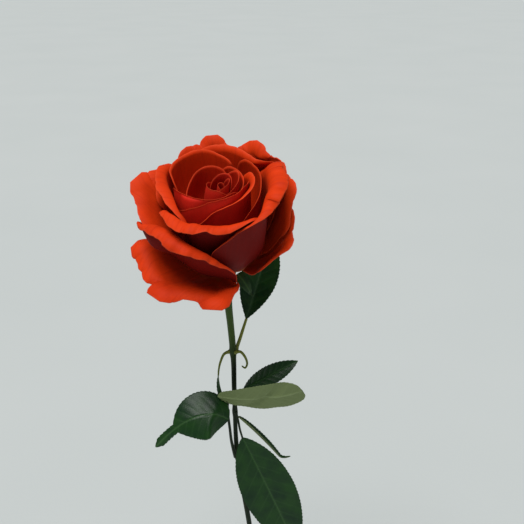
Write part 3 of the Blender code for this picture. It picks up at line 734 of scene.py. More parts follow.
@dataclass
class Stem:
    """The stem, from the vase's floor to the hip, and the stalks that leave it."""

    mouth: Array
    bloom_axis: Array
    floor: float = 6 * MM
    radius: float = 1.6 * MM
    foot_right: float = 17.55 * MM
    clearance: float = 0.3 * MM
    straight_under_hip: float = 4 * MM
    sides: int = 40
    swelling: float = 0.28
    swelling_length: float = 2.6 * MM
    twig_radii: tuple[float, float] = (0.6 * MM, 0.45 * MM)
    base_flare: float = 0.55
    flare_share: float = 0.09
    tip_share: float = 0.03
    bluntest: float = 0.15
    rise: tuple[tuple[float, float, float, float], ...] = (
        (-3.5, 0.0, 28.0, 1.6),
        (-5.7, 0.0, 46.0, 1.6),
        (-8.8, 0.0, 66.7, 1.55),
        (-10.6, 0.0, 77.9, 1.5),
        (-12.6, 0.0, 97.0, 1.5),
        (-13.3, 0.0, 112.0, 1.35),
        (-13.5, 0.0, 125.5, 1.4),
        (-13.8, 0.0, 140.8, 1.5),
        (-13.9, 0.0, 156.4, 1.6),
        (-14.5, -0.4, 170.0, 1.95),
        (-15.5, -1.6, 184.0, 2.05),
        (-16.5, -4.0, 198.0, 2.3),
        (-16.9, -7.0, 214.7, 2.6),
    )
    stalks: tuple[Stalk, ...] = (
        Stalk(
            "upper_petiole", 165.0, 25, 1.15, 0.8,
            ((-10.3, 2.2, 171.5), (-8.2, 5.0, 177.4), (-6.2, 8.0, 182.8)), Slot.YOUNG_STALK,
        ),
        Stalk(
            "left_stipule", 165.0, 180, 0.95, 0.45,
            ((-19.6, -0.6, 163.4), (-21.8, -1.4, 158.6), (-22.9, -1.6, 153.6), (-23.3, -2.0, 149.0)),
            Slot.YOUNG_STALK,
        ),
        Stalk(
            "right_stipule", 165.0, 318, 0.95, 0.45,
            ((-9.6, -2.6, 165.8), (-6.9, -3.0, 162.6), (-5.7, -3.2, 158.4), (-6.9, -3.4, 155.6),
             (-9.0, -3.5, 157.0)),
            Slot.YOUNG_STALK,
        ),
        Stalk(
            "lower_rachis", 92.0, 215, 0.95, 0.6,
            ((-15.6, -3.6, 104.0), (-16.6, -5.2, 115.0), (-17.4, -6.0, 124.0), (-17.6, -6.0, 132.0),
             (-15.8, -5.6, 137.4), (-12.4, -4.6, 139.4), (-8.0, -2.5, 140.5)),
            Slot.STEM,
            (((-17.4, -6.0, 123.2), (-17.2, -8.6, 124.2), (-16.9, -11.4, 124.4)),
             ((-17.6, -6.0, 133.2), (-17.8, -7.0, 134.4), (-18.0, -8.4, 135.4)),
             ((-17.6, -6.0, 132.4), (-19.2, -6.8, 134.2), (-20.7, -7.4, 136.6))),
        ),
        Stalk(
            "big_leaf_petiole", 124.0, 300, 0.8, 0.6,
            ((-11.6, -2.8, 119.6), (-10.4, -4.2, 113.6), (-8.7, -5.5, 107.8)), Slot.STEM,
            (((-13.4, 0.2, 118.4), (-12.6, 1.4, 118.7), (-11.4, 2.5, 118.7)),),
        ),
    )
    bark: StalkFinish = StalkFinish("green_rose_bark", "3c5418", "12200e", "4d5530", 0.315, 0.335)
    young_bark: StalkFinish = StalkFinish("young_rose_stalk", "8a8e3c", "5f6e2c", "a0a058", 0.30, 0.34)

    def line(self) -> Array:
        """Rows of place and radius along the stem."""
        lean = math.atan2(self.foot_right - self.mouth[0], self.mouth[2] - self.floor)
        above_floor = self.floor + self.clearance + self.radius * math.sin(lean)
        foot = np.array([self.foot_right, 0, above_floor])
        rows = [(*place, self.radius) for place in (foot, (foot + self.mouth) / 2, self.mouth)]
        rows += [(*(self.mouth + np.array(row[:3]) * MM), row[3] * MM) for row in self.rise]
        end = rows.pop()
        under_hip = np.array(end[:3]) - self.bloom_axis * self.straight_under_hip
        return np.vstack([smooth_path(np.array([*rows, (*under_hip, end[3])]), 14), end])

    def stalk_line(self, stalk: Stalk, stem: Array) -> Array:
        """Rows of place and radius along a stalk, from inside the stem's bark.

        Args:
            stalk: the stalk.
            stem: the stem's rows.

        Returns:
            The stalk's rows.
        """
        height = self.mouth[2] + stalk.height * MM
        x, y, radius = (np.interp(height, stem[:, 2], stem[:, i]) for i in (0, 1, 3))
        turn = math.radians(stalk.direction)
        reach = radius - 0.2 * MM
        start = np.array([x + reach * math.cos(turn), y + reach * math.sin(turn), height])
        places = [start] + [self.mouth + np.array(point) * MM for point in stalk.points]
        radii = np.linspace(stalk.first_radius, stalk.last_radius, len(places)) * MM
        return smooth_path(np.column_stack([places, radii]), 12)

    def swollen(self, stem: Array) -> Array:
        """The stem's radii, thicker for a few millimetres where a leaf leaves it."""
        radii = stem[:, 3].copy()
        for height in sorted({stalk.height for stalk in self.stalks}):
            away = (stem[:, 2] - self.mouth[2] - height * MM) / self.swelling_length
            radii *= 1 + self.swelling * np.exp(-(away**2))
        return radii

    def build(self) -> None:
        """Makes the stem and its stalks."""
        stem = self.line()
        bark, young_bark = self.bark.material(), self.young_bark.material()
        piece = tube(stem[:, :3], self.swollen(stem), self.sides).piece("rose_stem", bark)
        stand_for(piece, "stem")
        for stalk in self.stalks:
            line = self.stalk_line(stalk, stem)
            share = np.linspace(0, 1, len(line))
            flare = 1 + self.base_flare * np.exp(-((share / self.flare_share) ** 2))
            tip = np.ones_like(share)
            if "stipule" in stalk.name:
                tip = np.sqrt(np.clip((1 - share) / self.tip_share, 0, 1))
            finish = young_bark if stalk.slot is Slot.YOUNG_STALK else bark
            skins = [tube(line[:, :3], line[:, 3] * flare * np.maximum(tip, self.bluntest), 20)]
            for twig in stalk.twigs:
                path = self.mouth + smooth_path(np.array(twig), 8) * MM
                skins.append(tube(path, np.linspace(*self.twig_radii, len(path)), 14))
            piece = joined(skins).piece("rose_" + stalk.name, finish)
            stand_for(piece, stalk.name)


# ---------------------------------------------------------------- leaves
@dataclass(frozen=True)
class Blade:
    """One leaf blade, in millimetres and degrees from the stem's middle at the vase's mouth.

    The midrib is a parabola from base to tip, bowed off the straight line. The upper face's
    direction is given at both ends. The width follows along^rise * (1 - along)^point, but a blade
    with a tail has a round body that runs into it. Each half folds up by a share of its width.
    """

    name: str
    base: tuple[float, float, float]
    tip: tuple[float, float, float]
    bow: tuple[float, float, float]
    face_base: tuple[float, float, float]
    face_tip: tuple[float, float, float]
    half_width: float
    widest: float
    point: float
    fold: float
    slot: Slot = Slot.LEAF
    veins: int = 9
    tail: float = 0.0
    hook: tuple[float, float, float] = (0.0, 0.0, 0.0)
    crease: float = 0.0
    crease_at: float = 0.3
    crease_slant: float = -0.1
    wave: float = 0.5
    seed: int = 1

    def rib(self, along: Array) -> tuple[Array, Array]:
        """The midrib's points and its unit way at each share along."""
        base, tip, bow = (np.array(v, float) for v in (self.base, self.tip, self.bow))
        middle = (base + tip) / 2 + bow
        points = (1 - along) ** 2 * base + 2 * along * (1 - along) * middle + along**2 * tip
        hooked = np.clip((along - 0.86) / 0.14, 0, 1) ** 2
        points = points + hooked * np.array(self.hook, float)
        return points, unit(np.gradient(points, axis=0))

    def axes(self, along: Array) -> tuple[Array, Array, Array]:
        """The midrib's points, and the unit ways across the blade and out of its upper face."""
        points, way = self.rib(along)
        face = (1 - along) * np.array(self.face_base, float) + along * np.array(self.face_tip, float)
        side = unit(np.cross(way, unit(face)))
        return points, side, np.cross(side, way)

    def half_widths(self, along: Array) -> Array:
        """The width from the midrib to the margin at each share along, tail included."""
        if self.tail:
            body = np.clip(1 - ((along - self.widest) / self.widest) ** 2, 0, 1) ** 0.6
            body = body * self.half_width
            tail = self.tail * np.clip((1 - along) / 0.06, 0, 1) ** 0.6 * (along > self.widest)
            return np.maximum((body**3 + tail**3) ** (1 / 3), 0.3)
        rise = self.point * self.widest / (1 - self.widest)
        peak = self.widest**rise * (1 - self.widest) ** self.point
        return np.maximum(self.half_width * along**rise * (1 - along) ** self.point / peak, 0.3)


@dataclass
class Foliage:
    """The leaf blades: sunken veins, a quilted surface between them, and toothed margins."""

    mouth: Array
    thickness: float = 0.35 * MM
    rows: int = 221
    columns: int = 53
    vein_groove: float = 0.06
    vein_half_width: float = 0.45
    quilt: float = 0.06
    rib_groove: float = 0.3
    tooth: float = 2.3
    tooth_depth: float = 0.42
    tooth_share: float = 0.12
    slant: float = 0.9
    stagger: float = 0.35
    tip_fade: float = 0.15
    narrowest: float = 0.15
    rib_half_width: float = 0.55
    wave_length: float = 30.0
    crease_width: float = 0.09
    blades: tuple[Blade, ...] = (
        Blade(
            "upper_leaf", (-6.4, 7.8, 182.2), (9.0, 23.0, 231.0), (1, 4, 0),
            (-0.2, -0.9, 0.5), (0.1, -0.9, 0.6), 11.5, 0.52, 0.9, 0.15, seed=3,
        ),
        Blade(
            "strip_leaflet", (-20.6, -7.4, 136.2), (-23.0, -5.6, 152.0), (-1, 0, 0),
            (-0.4, -0.9, 0.1), (-0.9, -0.5, 0), 1.9, 0.35, 0.7, 0.5, veins=4, wave=0.1, seed=4,
        ),
        Blade(
            "left_leaflet", (-16.9, -11.1, 124.4), (-61.5, -14.5, 107.5), (4, -5, 25),
            (-0.1, -0.8, 0.6), (0.2, -0.7, 0.7), 15.0, 0.38, 1.0, -0.12, tail=3.2, crease=1.6,
            crease_at=0.24, seed=5,
        ),
        Blade(
            "pale_leaflet", (-23.4, -9.4, 139.5), (27.0, -20.0, 149.0), (2, -2, -6),
            (0.05, 0.85, 0.5), (0.1, 0.85, 0.5), 13.2, 0.62, 0.3, 0.06,
            slot=Slot.LEAF_UNDERSIDE, crease=1.6, crease_at=0.55, crease_slant=0.3, wave=0.6, seed=6,
        ),
        Blade(
            "end_leaflet", (-8.2, -2.6, 140.4), (25.5, 15.0, 151.0), (-2, 0, -1),
            (-0.3, -0.75, 0.6), (-0.2, -0.9, 0.4), 6.4, 0.5, 0.8, 0.15, seed=7,
        ),
        Blade(
            "right_leaflet", (-11.8, 2.2, 119.0), (18.0, 6.5, 82.5), (0.5, 0, 2.5),
            (0.55, 0.1, 0.8), (0.6, -0.2, 0.75), 2.2, 0.45, 0.5, 0.9, veins=8, hook=(3.4, 0, 5.0),
            wave=0.2, seed=8,
        ),
        Blade(
            "big_leaf", (-8.9, -5.4, 108.6), (26.0, -9.0, 27.5), (1.5, -5, 2),
            (0.0, -1, 0.15), (0.1, -0.95, -0.1), 17.0, 0.45, 0.9, 0.1, veins=10, wave=0.7, seed=9,
        ),
    )
    finish: LeafFinish = LeafFinish("waxy_rose_leaf")

    def net(self, blade: Blade) -> tuple[Array, dict[str, Array]]:
        """A blade's middle surface and its marks.

        Across the blade, the margin stands a half width from the midrib, less its teeth. Off the
        plain surface go the fold, the quilting (a wave that peaks halfway between two veins), the
        grooves along veins and midrib (bell curves), and a slow wave that grows to the margin.

        Args:
            blade: which.

        Returns:
            The net in metres, and the mark "vein", which is 1 on a vein.
        """
        along = np.linspace(0, 1, self.rows)[:, None]
        share = np.linspace(-1, 1, self.columns)[None, :]
        across = np.sign(share) * np.abs(share) ** 1.25
        rib, side, face = blade.axes(along)
        length = np.linalg.norm(np.diff(rib, axis=0), axis=1).sum()
        width = blade.half_widths(along)
        teeth = max(round(length / self.tooth), 1)
        notch = 1 - (along * teeth) % 1
        depth = min(self.tooth_depth, self.tooth_share * blade.half_width)
        distance = np.abs(across) * width
        reach = width - depth * notch * np.abs(across) ** 6
        spread = across * np.maximum(reach, self.narrowest)
        slanted = blade.veins * (along - self.slant * distance / length)
        order = slanted + self.stagger * np.sign(share)
        near = np.abs(order - np.rint(order)) * length / blade.veins
        shown = np.clip(width / 3, 0, 1) * np.clip((1 - along) / self.tip_fade, 0, 1)
        vein = np.exp(-((near / self.vein_half_width) ** 2)) * (1 - 0.7 * np.abs(across)) * shown
        midrib = np.exp(-((distance / self.rib_half_width) ** 2))
        quilted = (1 - np.cos(2 * math.pi * order)) / 2 * (1 - across**4) * np.clip(distance / 2, 0, 1)
        waves = along * length / self.wave_length
        halves = 0.6 * np.sign(share) * ripple(waves, blade.seed + 40, 0.8, 2.6)
        slow = ripple(waves, blade.seed, 0.6, 2.2) + halves
        past_crease = along - blade.crease_at - blade.crease_slant * share
        bent = np.exp(-((past_crease / self.crease_width) ** 2))
        crease = blade.crease * bent * (1 - 0.5 * across**2)
        rise = (
            blade.fold * np.abs(spread)
            + self.quilt * quilted * shown
            - self.vein_groove * vein
            - self.rib_groove * midrib * shown
            + blade.wave * slow * across**2
            + crease
        )
        points = rib[:, None] + side[:, None] * spread[..., None] + face[:, None] * rise[..., None]
        return self.mouth + points * MM, {"vein": np.clip(0.25 * vein + 0.6 * midrib, 0, 1)}

    def build(self) -> None:
        """Makes the leaf blades."""
        finish = self.finish.material()
        for blade in self.blades:
            net, marks = self.net(blade)
            margin = np.minimum(1, 4 * (1 - np.abs(np.linspace(-1, 1, self.columns))))
            thickness = self.thickness * np.broadcast_to(0.45 + 0.55 * margin, net.shape[:2])
            piece = closed_sheet(net, thickness, marks).piece("rose_" + blade.name, finish)
            stand_for(piece, blade.name)


# ---------------------------------------------------------------- hip and sepals
@dataclass
class Calyx:
    """The green cup under the bloom and its five sepals."""

    bloom: Matrix
    height: float = 12.0
    radius: float = 6.5
    rim_radius: float = 9.6
    cone: float = 0.5
    stem_radius: float = 2.6
    sepal_directions: tuple[float, ...] = (244, 316, 28, 100, 172)
    sepal_length: float = 15.0
    sepal_half_width: float = 3.6
    sepal_thickness: float = 0.35 * MM
    bark: StalkFinish = StalkFinish("green_rose_hip", "3c5a1e", "2f4818", "5f7038", 0.36, 0.39)
    leaf: LeafFinish = LeafFinish(
        "rose_sepal", upper="2c4a1e", upper_dark="1c3416", vein="3f5c2c", under="2f4a24"
    )

    def hip_profile(self) -> Array:
        """Rows of radius and height round the hip, from the seat's middle down to the stem's end."""
        rim = -self.cone * self.rim_radius
        down = np.array(
            [
                (self.rim_radius, rim - 0.02 * self.height),
                (self.rim_radius * 0.97, rim - 0.1 * self.height),
                (self.radius * 1.02, rim - 0.3 * self.height),
                (self.radius * 0.98, rim - 0.5 * self.height),
                (self.radius * 0.78, rim - 0.78 * self.height),
                (self.stem_radius, rim - self.height),
            ]
        )
        side = smooth_path(down, 10)
        top = np.linspace((0, 0), (self.rim_radius * 0.97, rim * 0.97), 12)
        return np.vstack([top, side, [0, rim - self.height]]) * MM

    def sepal(self, direction: float, seed: int) -> Array:
        """One sepal's middle surface, in the world: it turns out and down, and its tip curls up.

        The width falls to a long point. The halves fold up from the midrib, and a slow wave runs
        along the margin.

        Args:
            direction: the way it points, in degrees round the bloom.
            seed: which unevenness.

        Returns:
            The net in metres.
        """
        turn = math.radians(direction)
        out = np.array([math.cos(turn), math.sin(turn), 0])
        up = np.array([0, 0, 1.0])
        start = out * (self.rim_radius + 0.6) - up * (self.cone * self.rim_radius + 2.2)
        tip = start + self.sepal_length * (0.62 * out - 0.78 * up)
        bow = 3.2 * (0.78 * out + 0.62 * up)
        blade = Blade(
            "sepal", tuple(start), tuple(tip), tuple(bow), tuple(up), tuple(0.8 * out + 0.6 * up),
            self.sepal_half_width, 0.22, 0.9, 0.2, hook=tuple(1.8 * out + 1.2 * up),
        )
        along = np.linspace(0, 1, 61)[:, None]
        across = np.linspace(-1, 1, 25)[None, :]
        rib, side, face = blade.axes(along)
        spread = across * blade.half_widths(along)
        rise = blade.fold * np.abs(spread) + 0.35 * ripple(along * 2, seed, 0.7, 3.0) * across**2
        points = rib[:, None] + side[:, None] * spread[..., None] + face[:, None] * rise[..., None]
        return in_frame(points * MM, self.bloom)

    def build(self) -> None:
        """Makes the hip and the sepals."""
        hip = turned(self.hip_profile()[::-1], 48, self.bloom)
        stand_for(hip.piece("rose_hip", self.bark.material()), "hip")
        leaf = self.leaf.material()
        for number, direction in enumerate(self.sepal_directions, 1):
            net = self.sepal(direction, number)
            midrib = np.exp(-((np.linspace(-1, 1, net.shape[1])[None, :] / 0.2) ** 2))
            marks = {"vein": midrib * np.ones(net.shape[:2])}
            thickness = np.full(net.shape[:2], self.sepal_thickness)
            piece = closed_sheet(net, thickness, marks).piece(f"rose_sepal_{number}", leaf)
            stand_for(piece, f"sepal_{number}")


# ---------------------------------------------------------------- bloom
@dataclass(frozen=True)
class Petal:
    """One petal, in millimetres and degrees, in the bloom's own frame.

    rim has the points that the rim passes, anticlockwise: direction, radius, height above the seat,
    and the length of the lip that rolls out past it there. Directions are 0 right, 90 back, 180 left
    and 270 front. rise and lean are the petal's slopes at the seat and at the rim: 90 is upright.
    curl is how far the lip turns over. corners and nicks are (direction, size, half width): a corner
    draws the rim out to a point there, and a nick is cut out of the lip.
    """

    rim: Rim
    rise: float
    lean: float
    curl: float
    corners: Marks = ()
    nicks: Marks = ()
    ruffle: float = 0.3


def soft_tents(across: Array, marks: Marks) -> Array:
    """The sum of soft-topped tents: each is its height times exp(0.15 - hypot(distance, 0.15))."""
    total = np.zeros_like(across)
    for at, height, half_width in marks:
        total = total + height * np.exp(0.15 - np.hypot((across - at) / half_width, 0.15))
    return total


def padded(values: Array, reach: int, axis: int, round_columns: bool) -> Array:
    """A table with more cells at both ends of an axis: the last cell again, or round the columns."""
    mode = "wrap" if axis == 1 and round_columns else "edge"
    return np.pad(values, [(reach, reach) if i == axis else (0, 0) for i in (0, 1)], mode=mode)


def blurred(values: Array, reach: int, round_columns: bool = False) -> Array:
    """Each value's mean over a square of neighbours. Rows end, and columns may run round."""
    for axis in (0, 1):
        sums = np.cumsum(padded(values, reach, axis, round_columns), axis=axis)
        zero = np.zeros_like(np.take(sums, [0], axis=axis))
        sums = np.concatenate([zero, sums], axis=axis)
        count = values.shape[axis]
        high = np.take(sums, np.arange(count) + 2 * reach + 1, axis=axis)
        values = (high - np.take(sums, np.arange(count), axis=axis)) / (2 * reach + 1)
    return values


def widest_near(values: Array, reach: int, round_columns: bool = False) -> Array:
    """Each value's highest neighbour within a square. Rows end, and columns may run round."""
    for axis in (0, 1):
        wide = padded(values, reach, axis, round_columns)
        values = np.lib.stride_tricks.sliding_window_view(wide, 2 * reach + 1, axis=axis).max(axis=-1)
    return values


@dataclass
class Shell:
    """The bloom's outside so far: a radius for each height (row) and direction (column)."""

    bottom: float = -30.0
    top: float = 78.0
    step: float = 0.5
    directions: int = 360
    radii: Array = field(init=False)

    def __post_init__(self) -> None:
        """Starts empty."""
        self.radii = np.zeros((int((self.top - self.bottom) / self.step), self.directions))

    def cells(self, direction: Array, z: Array) -> tuple[Array, Array]:
        """Rows and columns of the table, as fractions, for directions in radians and heights."""
        row = np.clip((z - self.bottom) / self.step, 0, len(self.radii) - 1.001)
        return row, np.degrees(direction) % 360 / 360 * self.directions

    def inside(self, direction: Array, z: Array) -> Array:
        """The radius already taken, between the table's cells by straight lines."""
        row, column = self.cells(direction, z)
        low, near = row.astype(int), column.astype(int)
        up, on = row - low, column - near
        near, far = near % self.directions, (near + 1) % self.directions
        bottom = self.radii[low, near] * (1 - on) + self.radii[low, far] * on
        top = self.radii[low + 1, near] * (1 - on) + self.radii[low + 1, far] * on
        return bottom * (1 - up) + top * up

    def take(self, radius: Array, direction: Array, z: Array) -> None:
        """Adds a petal: its net, made twice as fine, is laid on the table and spread a little."""
        fine = [finer(part) for part in (radius, direction, z)]
        row, column = self.cells(fine[1], fine[2])
        here = np.zeros_like(self.radii)
        cells = (np.rint(row).astype(int), np.rint(column).astype(int) % self.directions)
        np.maximum.at(here, cells, fine[0])
        spread = widest_near(here, 2, round_columns=True)
        self.radii = np.maximum(self.radii, np.minimum(spread, blurred(spread, 2, True) + 0.25))


def finer(values: Array) -> Array:
    """A table with a new row and column halfway between each two."""
    for _ in range(2):
        between = (values[1:] + values[:-1]) / 2
        merged = np.empty((len(values) + len(between), values.shape[1]))
        merged[::2], merged[1::2] = values, between
        values = merged.T
    return values


@dataclass
class Bloom:
    """The petals, worked out from the innermost to the outermost."""

    frame: Matrix
    thickness: float = 0.3
    gap_at_seat: float = 0.5
    gap_at_rim: float = 0.85
    clearance: float = 0.3
    seat_first: float = 1.6
    seat_last: float = 8.4
    cone: float = 0.5
    along: int = 88
    rim_row: int = 62
    across: int = 120
    base_width: float = 0.72
    widening_share: float = 0.55
    flattest: float = 0.35
    # margin_width and margin_strength spread the paler edge colour, partly painted light through the
    # thin edge
    margin_width: float = 0.45
    margin_strength: float = 0.55
    claw_share: float = 0.3
    edge_thinning: float = 0.6
    edge_reach: float = 0.6
    slope_share: float = 0.45
    curl_ripple: float = 0.22
    push_slack: float = 0.2
    end_round: float = 4.5
    shortest_lip: float = 0.3
    heart: tuple[float, float] = (6.5, 2.0)
    heart_reach: float = 26.0
    heart_height: float = 51.0
    finish: PetalFinish = PetalFinish()
    petals: tuple[Petal, ...] = (
        Petal(((0, 1.5, 46, 0.7), (75, 1.5, 49.5, 0.7), (150, 2, 50.5, 0.7), (225, 2.5, 50, 0.7),
              (300, 3, 46, 0.6)), 89, 97, 20),
        Petal(((210, 4, 44, 0.7), (270, 3.5, 49.5, 0.9), (330, 3.5, 51.5, 0.9), (390, 4, 51.5, 0.9),
              (450, 4.5, 47, 0.7)), 88, 98, 25),
        Petal(((325, 5, 46, 0.9), (382, 5, 51.5, 1.1), (440, 5.5, 52.5, 1.1), (497, 6, 50.5, 1.1),
              (555, 6.5, 43, 0.9)), 86, 99, 30),
        Petal(((110, 7.5, 42.5, 0.9), (162, 8, 49.5, 1.1), (215, 8, 51.5, 1.1), (267, 7.5, 50.5, 1.1),
              (320, 7.5, 44, 0.9)), 84, 99, 30),
        Petal(((250, 9, 42.5, 1.1), (300, 8.5, 50, 1.3), (350, 8.5, 52.5, 1.3), (400, 9.5, 52.5, 1.3),
              (450, 10.5, 46, 0.9)), 82, 98, 40),
        Petal(((72, 12, 44, 0.8), (95, 14, 49.5, 1.4), (125, 17, 50.5, 1.4), (165, 16.5, 49.5, 1.4),
              (200, 17.5, 47, 1.4), (222, 16.5, 40.5, 1)), 76, 97, 45),
        Petal(((320, 9.5, 41, 0.9), (345, 10.5, 47, 1.3), (370, 11.5, 48, 1.5), (397, 12.5, 49, 1.7),
              (420, 14, 49.5, 1.7), (438, 15, 49, 1.5), (458, 14.5, 44, 0.9)), 74, 97, 50),
        Petal(((66, 19.5, 44, 0.9), (75, 19.5, 49.5, 1.4), (86, 24, 50.5, 1.8), (103, 30.5, 50.5, 2.3),
              (123, 30.5, 50.5, 2.3), (143, 28.5, 50, 1.8), (155, 25, 48, 1.4), (167, 21, 40.5, 0.9)),
              40, 88, 55),
        Petal(((160, 23, 39.5, 0.9), (174, 22.5, 47.5, 1.8), (198, 18, 49.5, 1.4), (225, 15, 50, 1.2),
              (255, 12, 50, 1.1), (280, 11, 50.5, 1.1), (305, 11, 51, 1.1), (330, 12, 47, 0.9)),
              66, 97, 35),
        Petal(((195, 22, 37.5, 0.9), (210, 21.5, 44, 1.1), (241, 15, 49, 1.1), (262, 13, 50, 1.1),
              (280, 12.5, 50.5, 1.1), (305, 12.5, 51, 1.3), (335, 13, 51, 1.5), (365, 14.5, 49, 1.4),
              (385, 15, 42.5, 0.9)), 60, 97, 40),
        Petal(((228, 22, 33, 0.9), (238, 21, 38.5, 0.9), (257, 15.5, 44.5, 1.1), (280, 14, 46.5, 1.3),
              (300, 14.5, 47.5, 2.2), (325, 15, 48.5, 4.2), (350, 15.5, 48.5, 5.2),
              (375, 16, 47.5, 5.2), (395, 16, 46, 4), (412, 17, 40, 1.4)), 54, 94, 95),
        Petal(((298, 20.5, 33, 0.9), (318, 22, 41.5, 1.4), (342, 23, 45.5, 1.7), (366, 23.5, 48, 1.8),
              (396, 26.5, 47.5, 1.8), (414, 28.5, 47, 1.8), (426, 28, 42, 0.9)), 44, 92, 50),
        Petal(((126, 31.5, 44, 2.8), (147, 29.5, 49, 6.4), (173, 24.5, 48, 7.4), (199, 22, 46, 6.4),
              (215, 21.5, 43.5, 4.6), (230, 22.5, 39.5, 2.3), (246, 23.5, 32, 0.9)), 34, 86, 90),
        Petal(((196, 27, 41.5, 3), (206, 25.5, 44.5, 6), (218, 24, 45, 9), (238, 24.5, 43.5, 10),
              (267, 22.5, 42, 9.5), (292, 23.5, 41.5, 8), (318, 27, 42, 4), (334, 29.5, 37, 1.5)),
              28, 84, 125, ((200, 1.5, 4), (247, 1.2, 5)), ((243, 1.5, 2),)),
        Petal(((264, 26.5, 28.5, 1), (284, 26, 35, 1.5), (303, 26.5, 39.5, 3.5), (321, 28.5, 42.5, 8.5),
              (337, 28, 44, 14), (352, 28.5, 45, 16), (372, 29, 44.5, 16), (388, 30.5, 41, 13),
              (400, 31, 37, 8), (412, 31.5, 30, 3)), 20, 84, 118, ((384, 1.6, 5), (346, 1.2, 5))),
        Petal(((24, 31.5, 37, 2.8), (38, 31.5, 42.5, 3.7), (50, 30.5, 46, 4.6), (64, 30.5, 48, 4.6),
              (79, 31.5, 49, 4.6), (95, 31.5, 48, 4.6), (112, 32, 43, 2.8)), 24, 80, 60),
        Petal(((66, 31.5, 35, 3.7), (80, 31.5, 40.5, 5.5), (100, 32, 42.5, 6.4), (120, 32, 43, 6.4),
              (135, 32, 41.5, 6.4), (148, 31.5, 39.5, 5.5), (162, 30.5, 34, 3.7)), 24, 76, 65),
        Petal(((128, 31.5, 35, 4), (142, 33, 38, 7), (152, 35.5, 39, 8), (160, 36.5, 38, 8.5),
              (175, 35, 35, 7.5), (188, 33, 32, 6), (203, 33, 26, 4)), 22, 50, 45,
              ((157, 4.2, 3.5), (147, 3, 3.5)), ((152, 3, 1.6),)),
        Petal(((184, 33, 30, 5), (193, 33, 33.5, 8), (205, 30.5, 36.5, 10.5), (219, 28.5, 37.5, 12),
              (235, 28.5, 36.5, 12), (246, 29, 34.5, 10.5), (262, 28, 28.5, 7), (276, 28, 21, 4),
              (290, 28, 13, 1)), 18, 80, 128, ((191, 2, 4),)),
        Petal(((64, 32, 37, 4.6), (76, 34, 42, 6.4), (92, 37.5, 43, 7.4), (107, 35, 42.5, 7.4),
              (122, 31.5, 40.5, 6.4), (132, 30.5, 35, 4.6)), 20, 70, 55, ((91, 4, 4), (110, 2.6, 4)),
              ((97, 1.3, 2),)),
        Petal(((16, 36, 32, 4.6), (32, 37, 39.5, 6.4), (44, 37.5, 41, 7.4), (56, 38.5, 42, 7.4),
              (61, 37.5, 41.5, 7.4), (70, 34, 39.5, 6.4), (82, 33, 35, 4.6)), 18, 70, 50,
              ((57, 3, 4), (33, 2.6, 4))),
        Petal(((352, 36.5, 20, 3), (368, 37.5, 27, 5), (380, 39, 31, 7), (390, 40, 34, 7),
              (398, 40, 35, 6), (410, 36, 31, 4)), 14, 60, 45, ((398, 3.4, 3), (379, 3, 4))),
        Petal(((316, 30.5, 9, 2), (326, 32, 11, 2.5), (334, 34, 12.5, 3.5), (342, 36.5, 15, 4.5),
              (352, 36.5, 19, 5), (365, 36.5, 24, 5), (380, 36, 26, 4)), 8, 55, 55,
              ((342, 3.2, 4), (327, 1.6, 4))),
        Petal(((170, 33, 11, 6), (183, 36, 13, 11), (198, 36, 10.5, 11), (212, 36, 7.5, 11),
              (224, 35, 6.5, 11.5), (240, 32.5, 7, 9.5), (254, 31, 5.5, 9), (266, 31, 4, 8.5),
              (280, 27, 3, 6), (292, 23, 1, 2)), 2, 30, 75, ((182, 3.6, 5), (223, 5, 4), (266, 5.5, 4)),
              ((217, 6, 1.6), (213, 2, 2))),
    )

    def rim_line(self, petal: Petal, seed: int) -> Array:
        """The rim's direction (in degrees), radius, height and lip, for each column of the net.

        It is a smooth curve through the petal's own points, at even steps along its length. A slow
        ripple and the corners then lift it along the petal, and so does a ripple off it. Each end is
        rounded by an arc of a circle, which is R * (1 - sqrt(1 - x * x)) deep.

        Args:
            petal: which.
            seed: which unevenness.

        Returns:
            Rows of four numbers, one for each column.
        """
        fine = smooth_path(np.array(petal.rim, float), 24)
        turn = np.radians(fine[:, 0])
        places = from_polar(fine[:, 1], turn, fine[:, 2])
        arc = np.append(0, np.linalg.norm(np.diff(places, axis=0), axis=1).cumsum())
        even = np.linspace(0, arc[-1], self.across + 1)
        rim = np.column_stack([np.interp(even, arc, column) for column in fine.T])
        gain = soft_tents(rim[:, 0], petal.corners) + petal.ruffle * ripple(even / 10, seed, 0.5, 2.0)
        lean = math.radians(petal.lean)
        rim[:, 1] += gain * math.cos(lean) + 0.6 * petal.ruffle * ripple(even / 10, seed + 50, 0.4, 1.6)
        rim[:, 2] += gain * math.sin(lean)
        rim[:, 3] = rim[:, 3] * (1 + 0.1 * ripple(even / 9, seed + 150, 0.5, 3.0))
        rim[:, 3] += 0.3 * soft_tents(rim[:, 0], petal.corners) - soft_tents(rim[:, 0], petal.nicks)
        from_end = np.minimum(np.minimum(even, arc[-1] - even) / self.end_round, 1)
        dip = 1 - np.sqrt(1 - (1 - from_end) ** 2)
        rim[:, 1] -= self.end_round * dip * math.cos(lean)
        rim[:, 2] -= self.end_round * dip * math.sin(lean)
        rim[:, 3] *= 1 - dip
        return rim

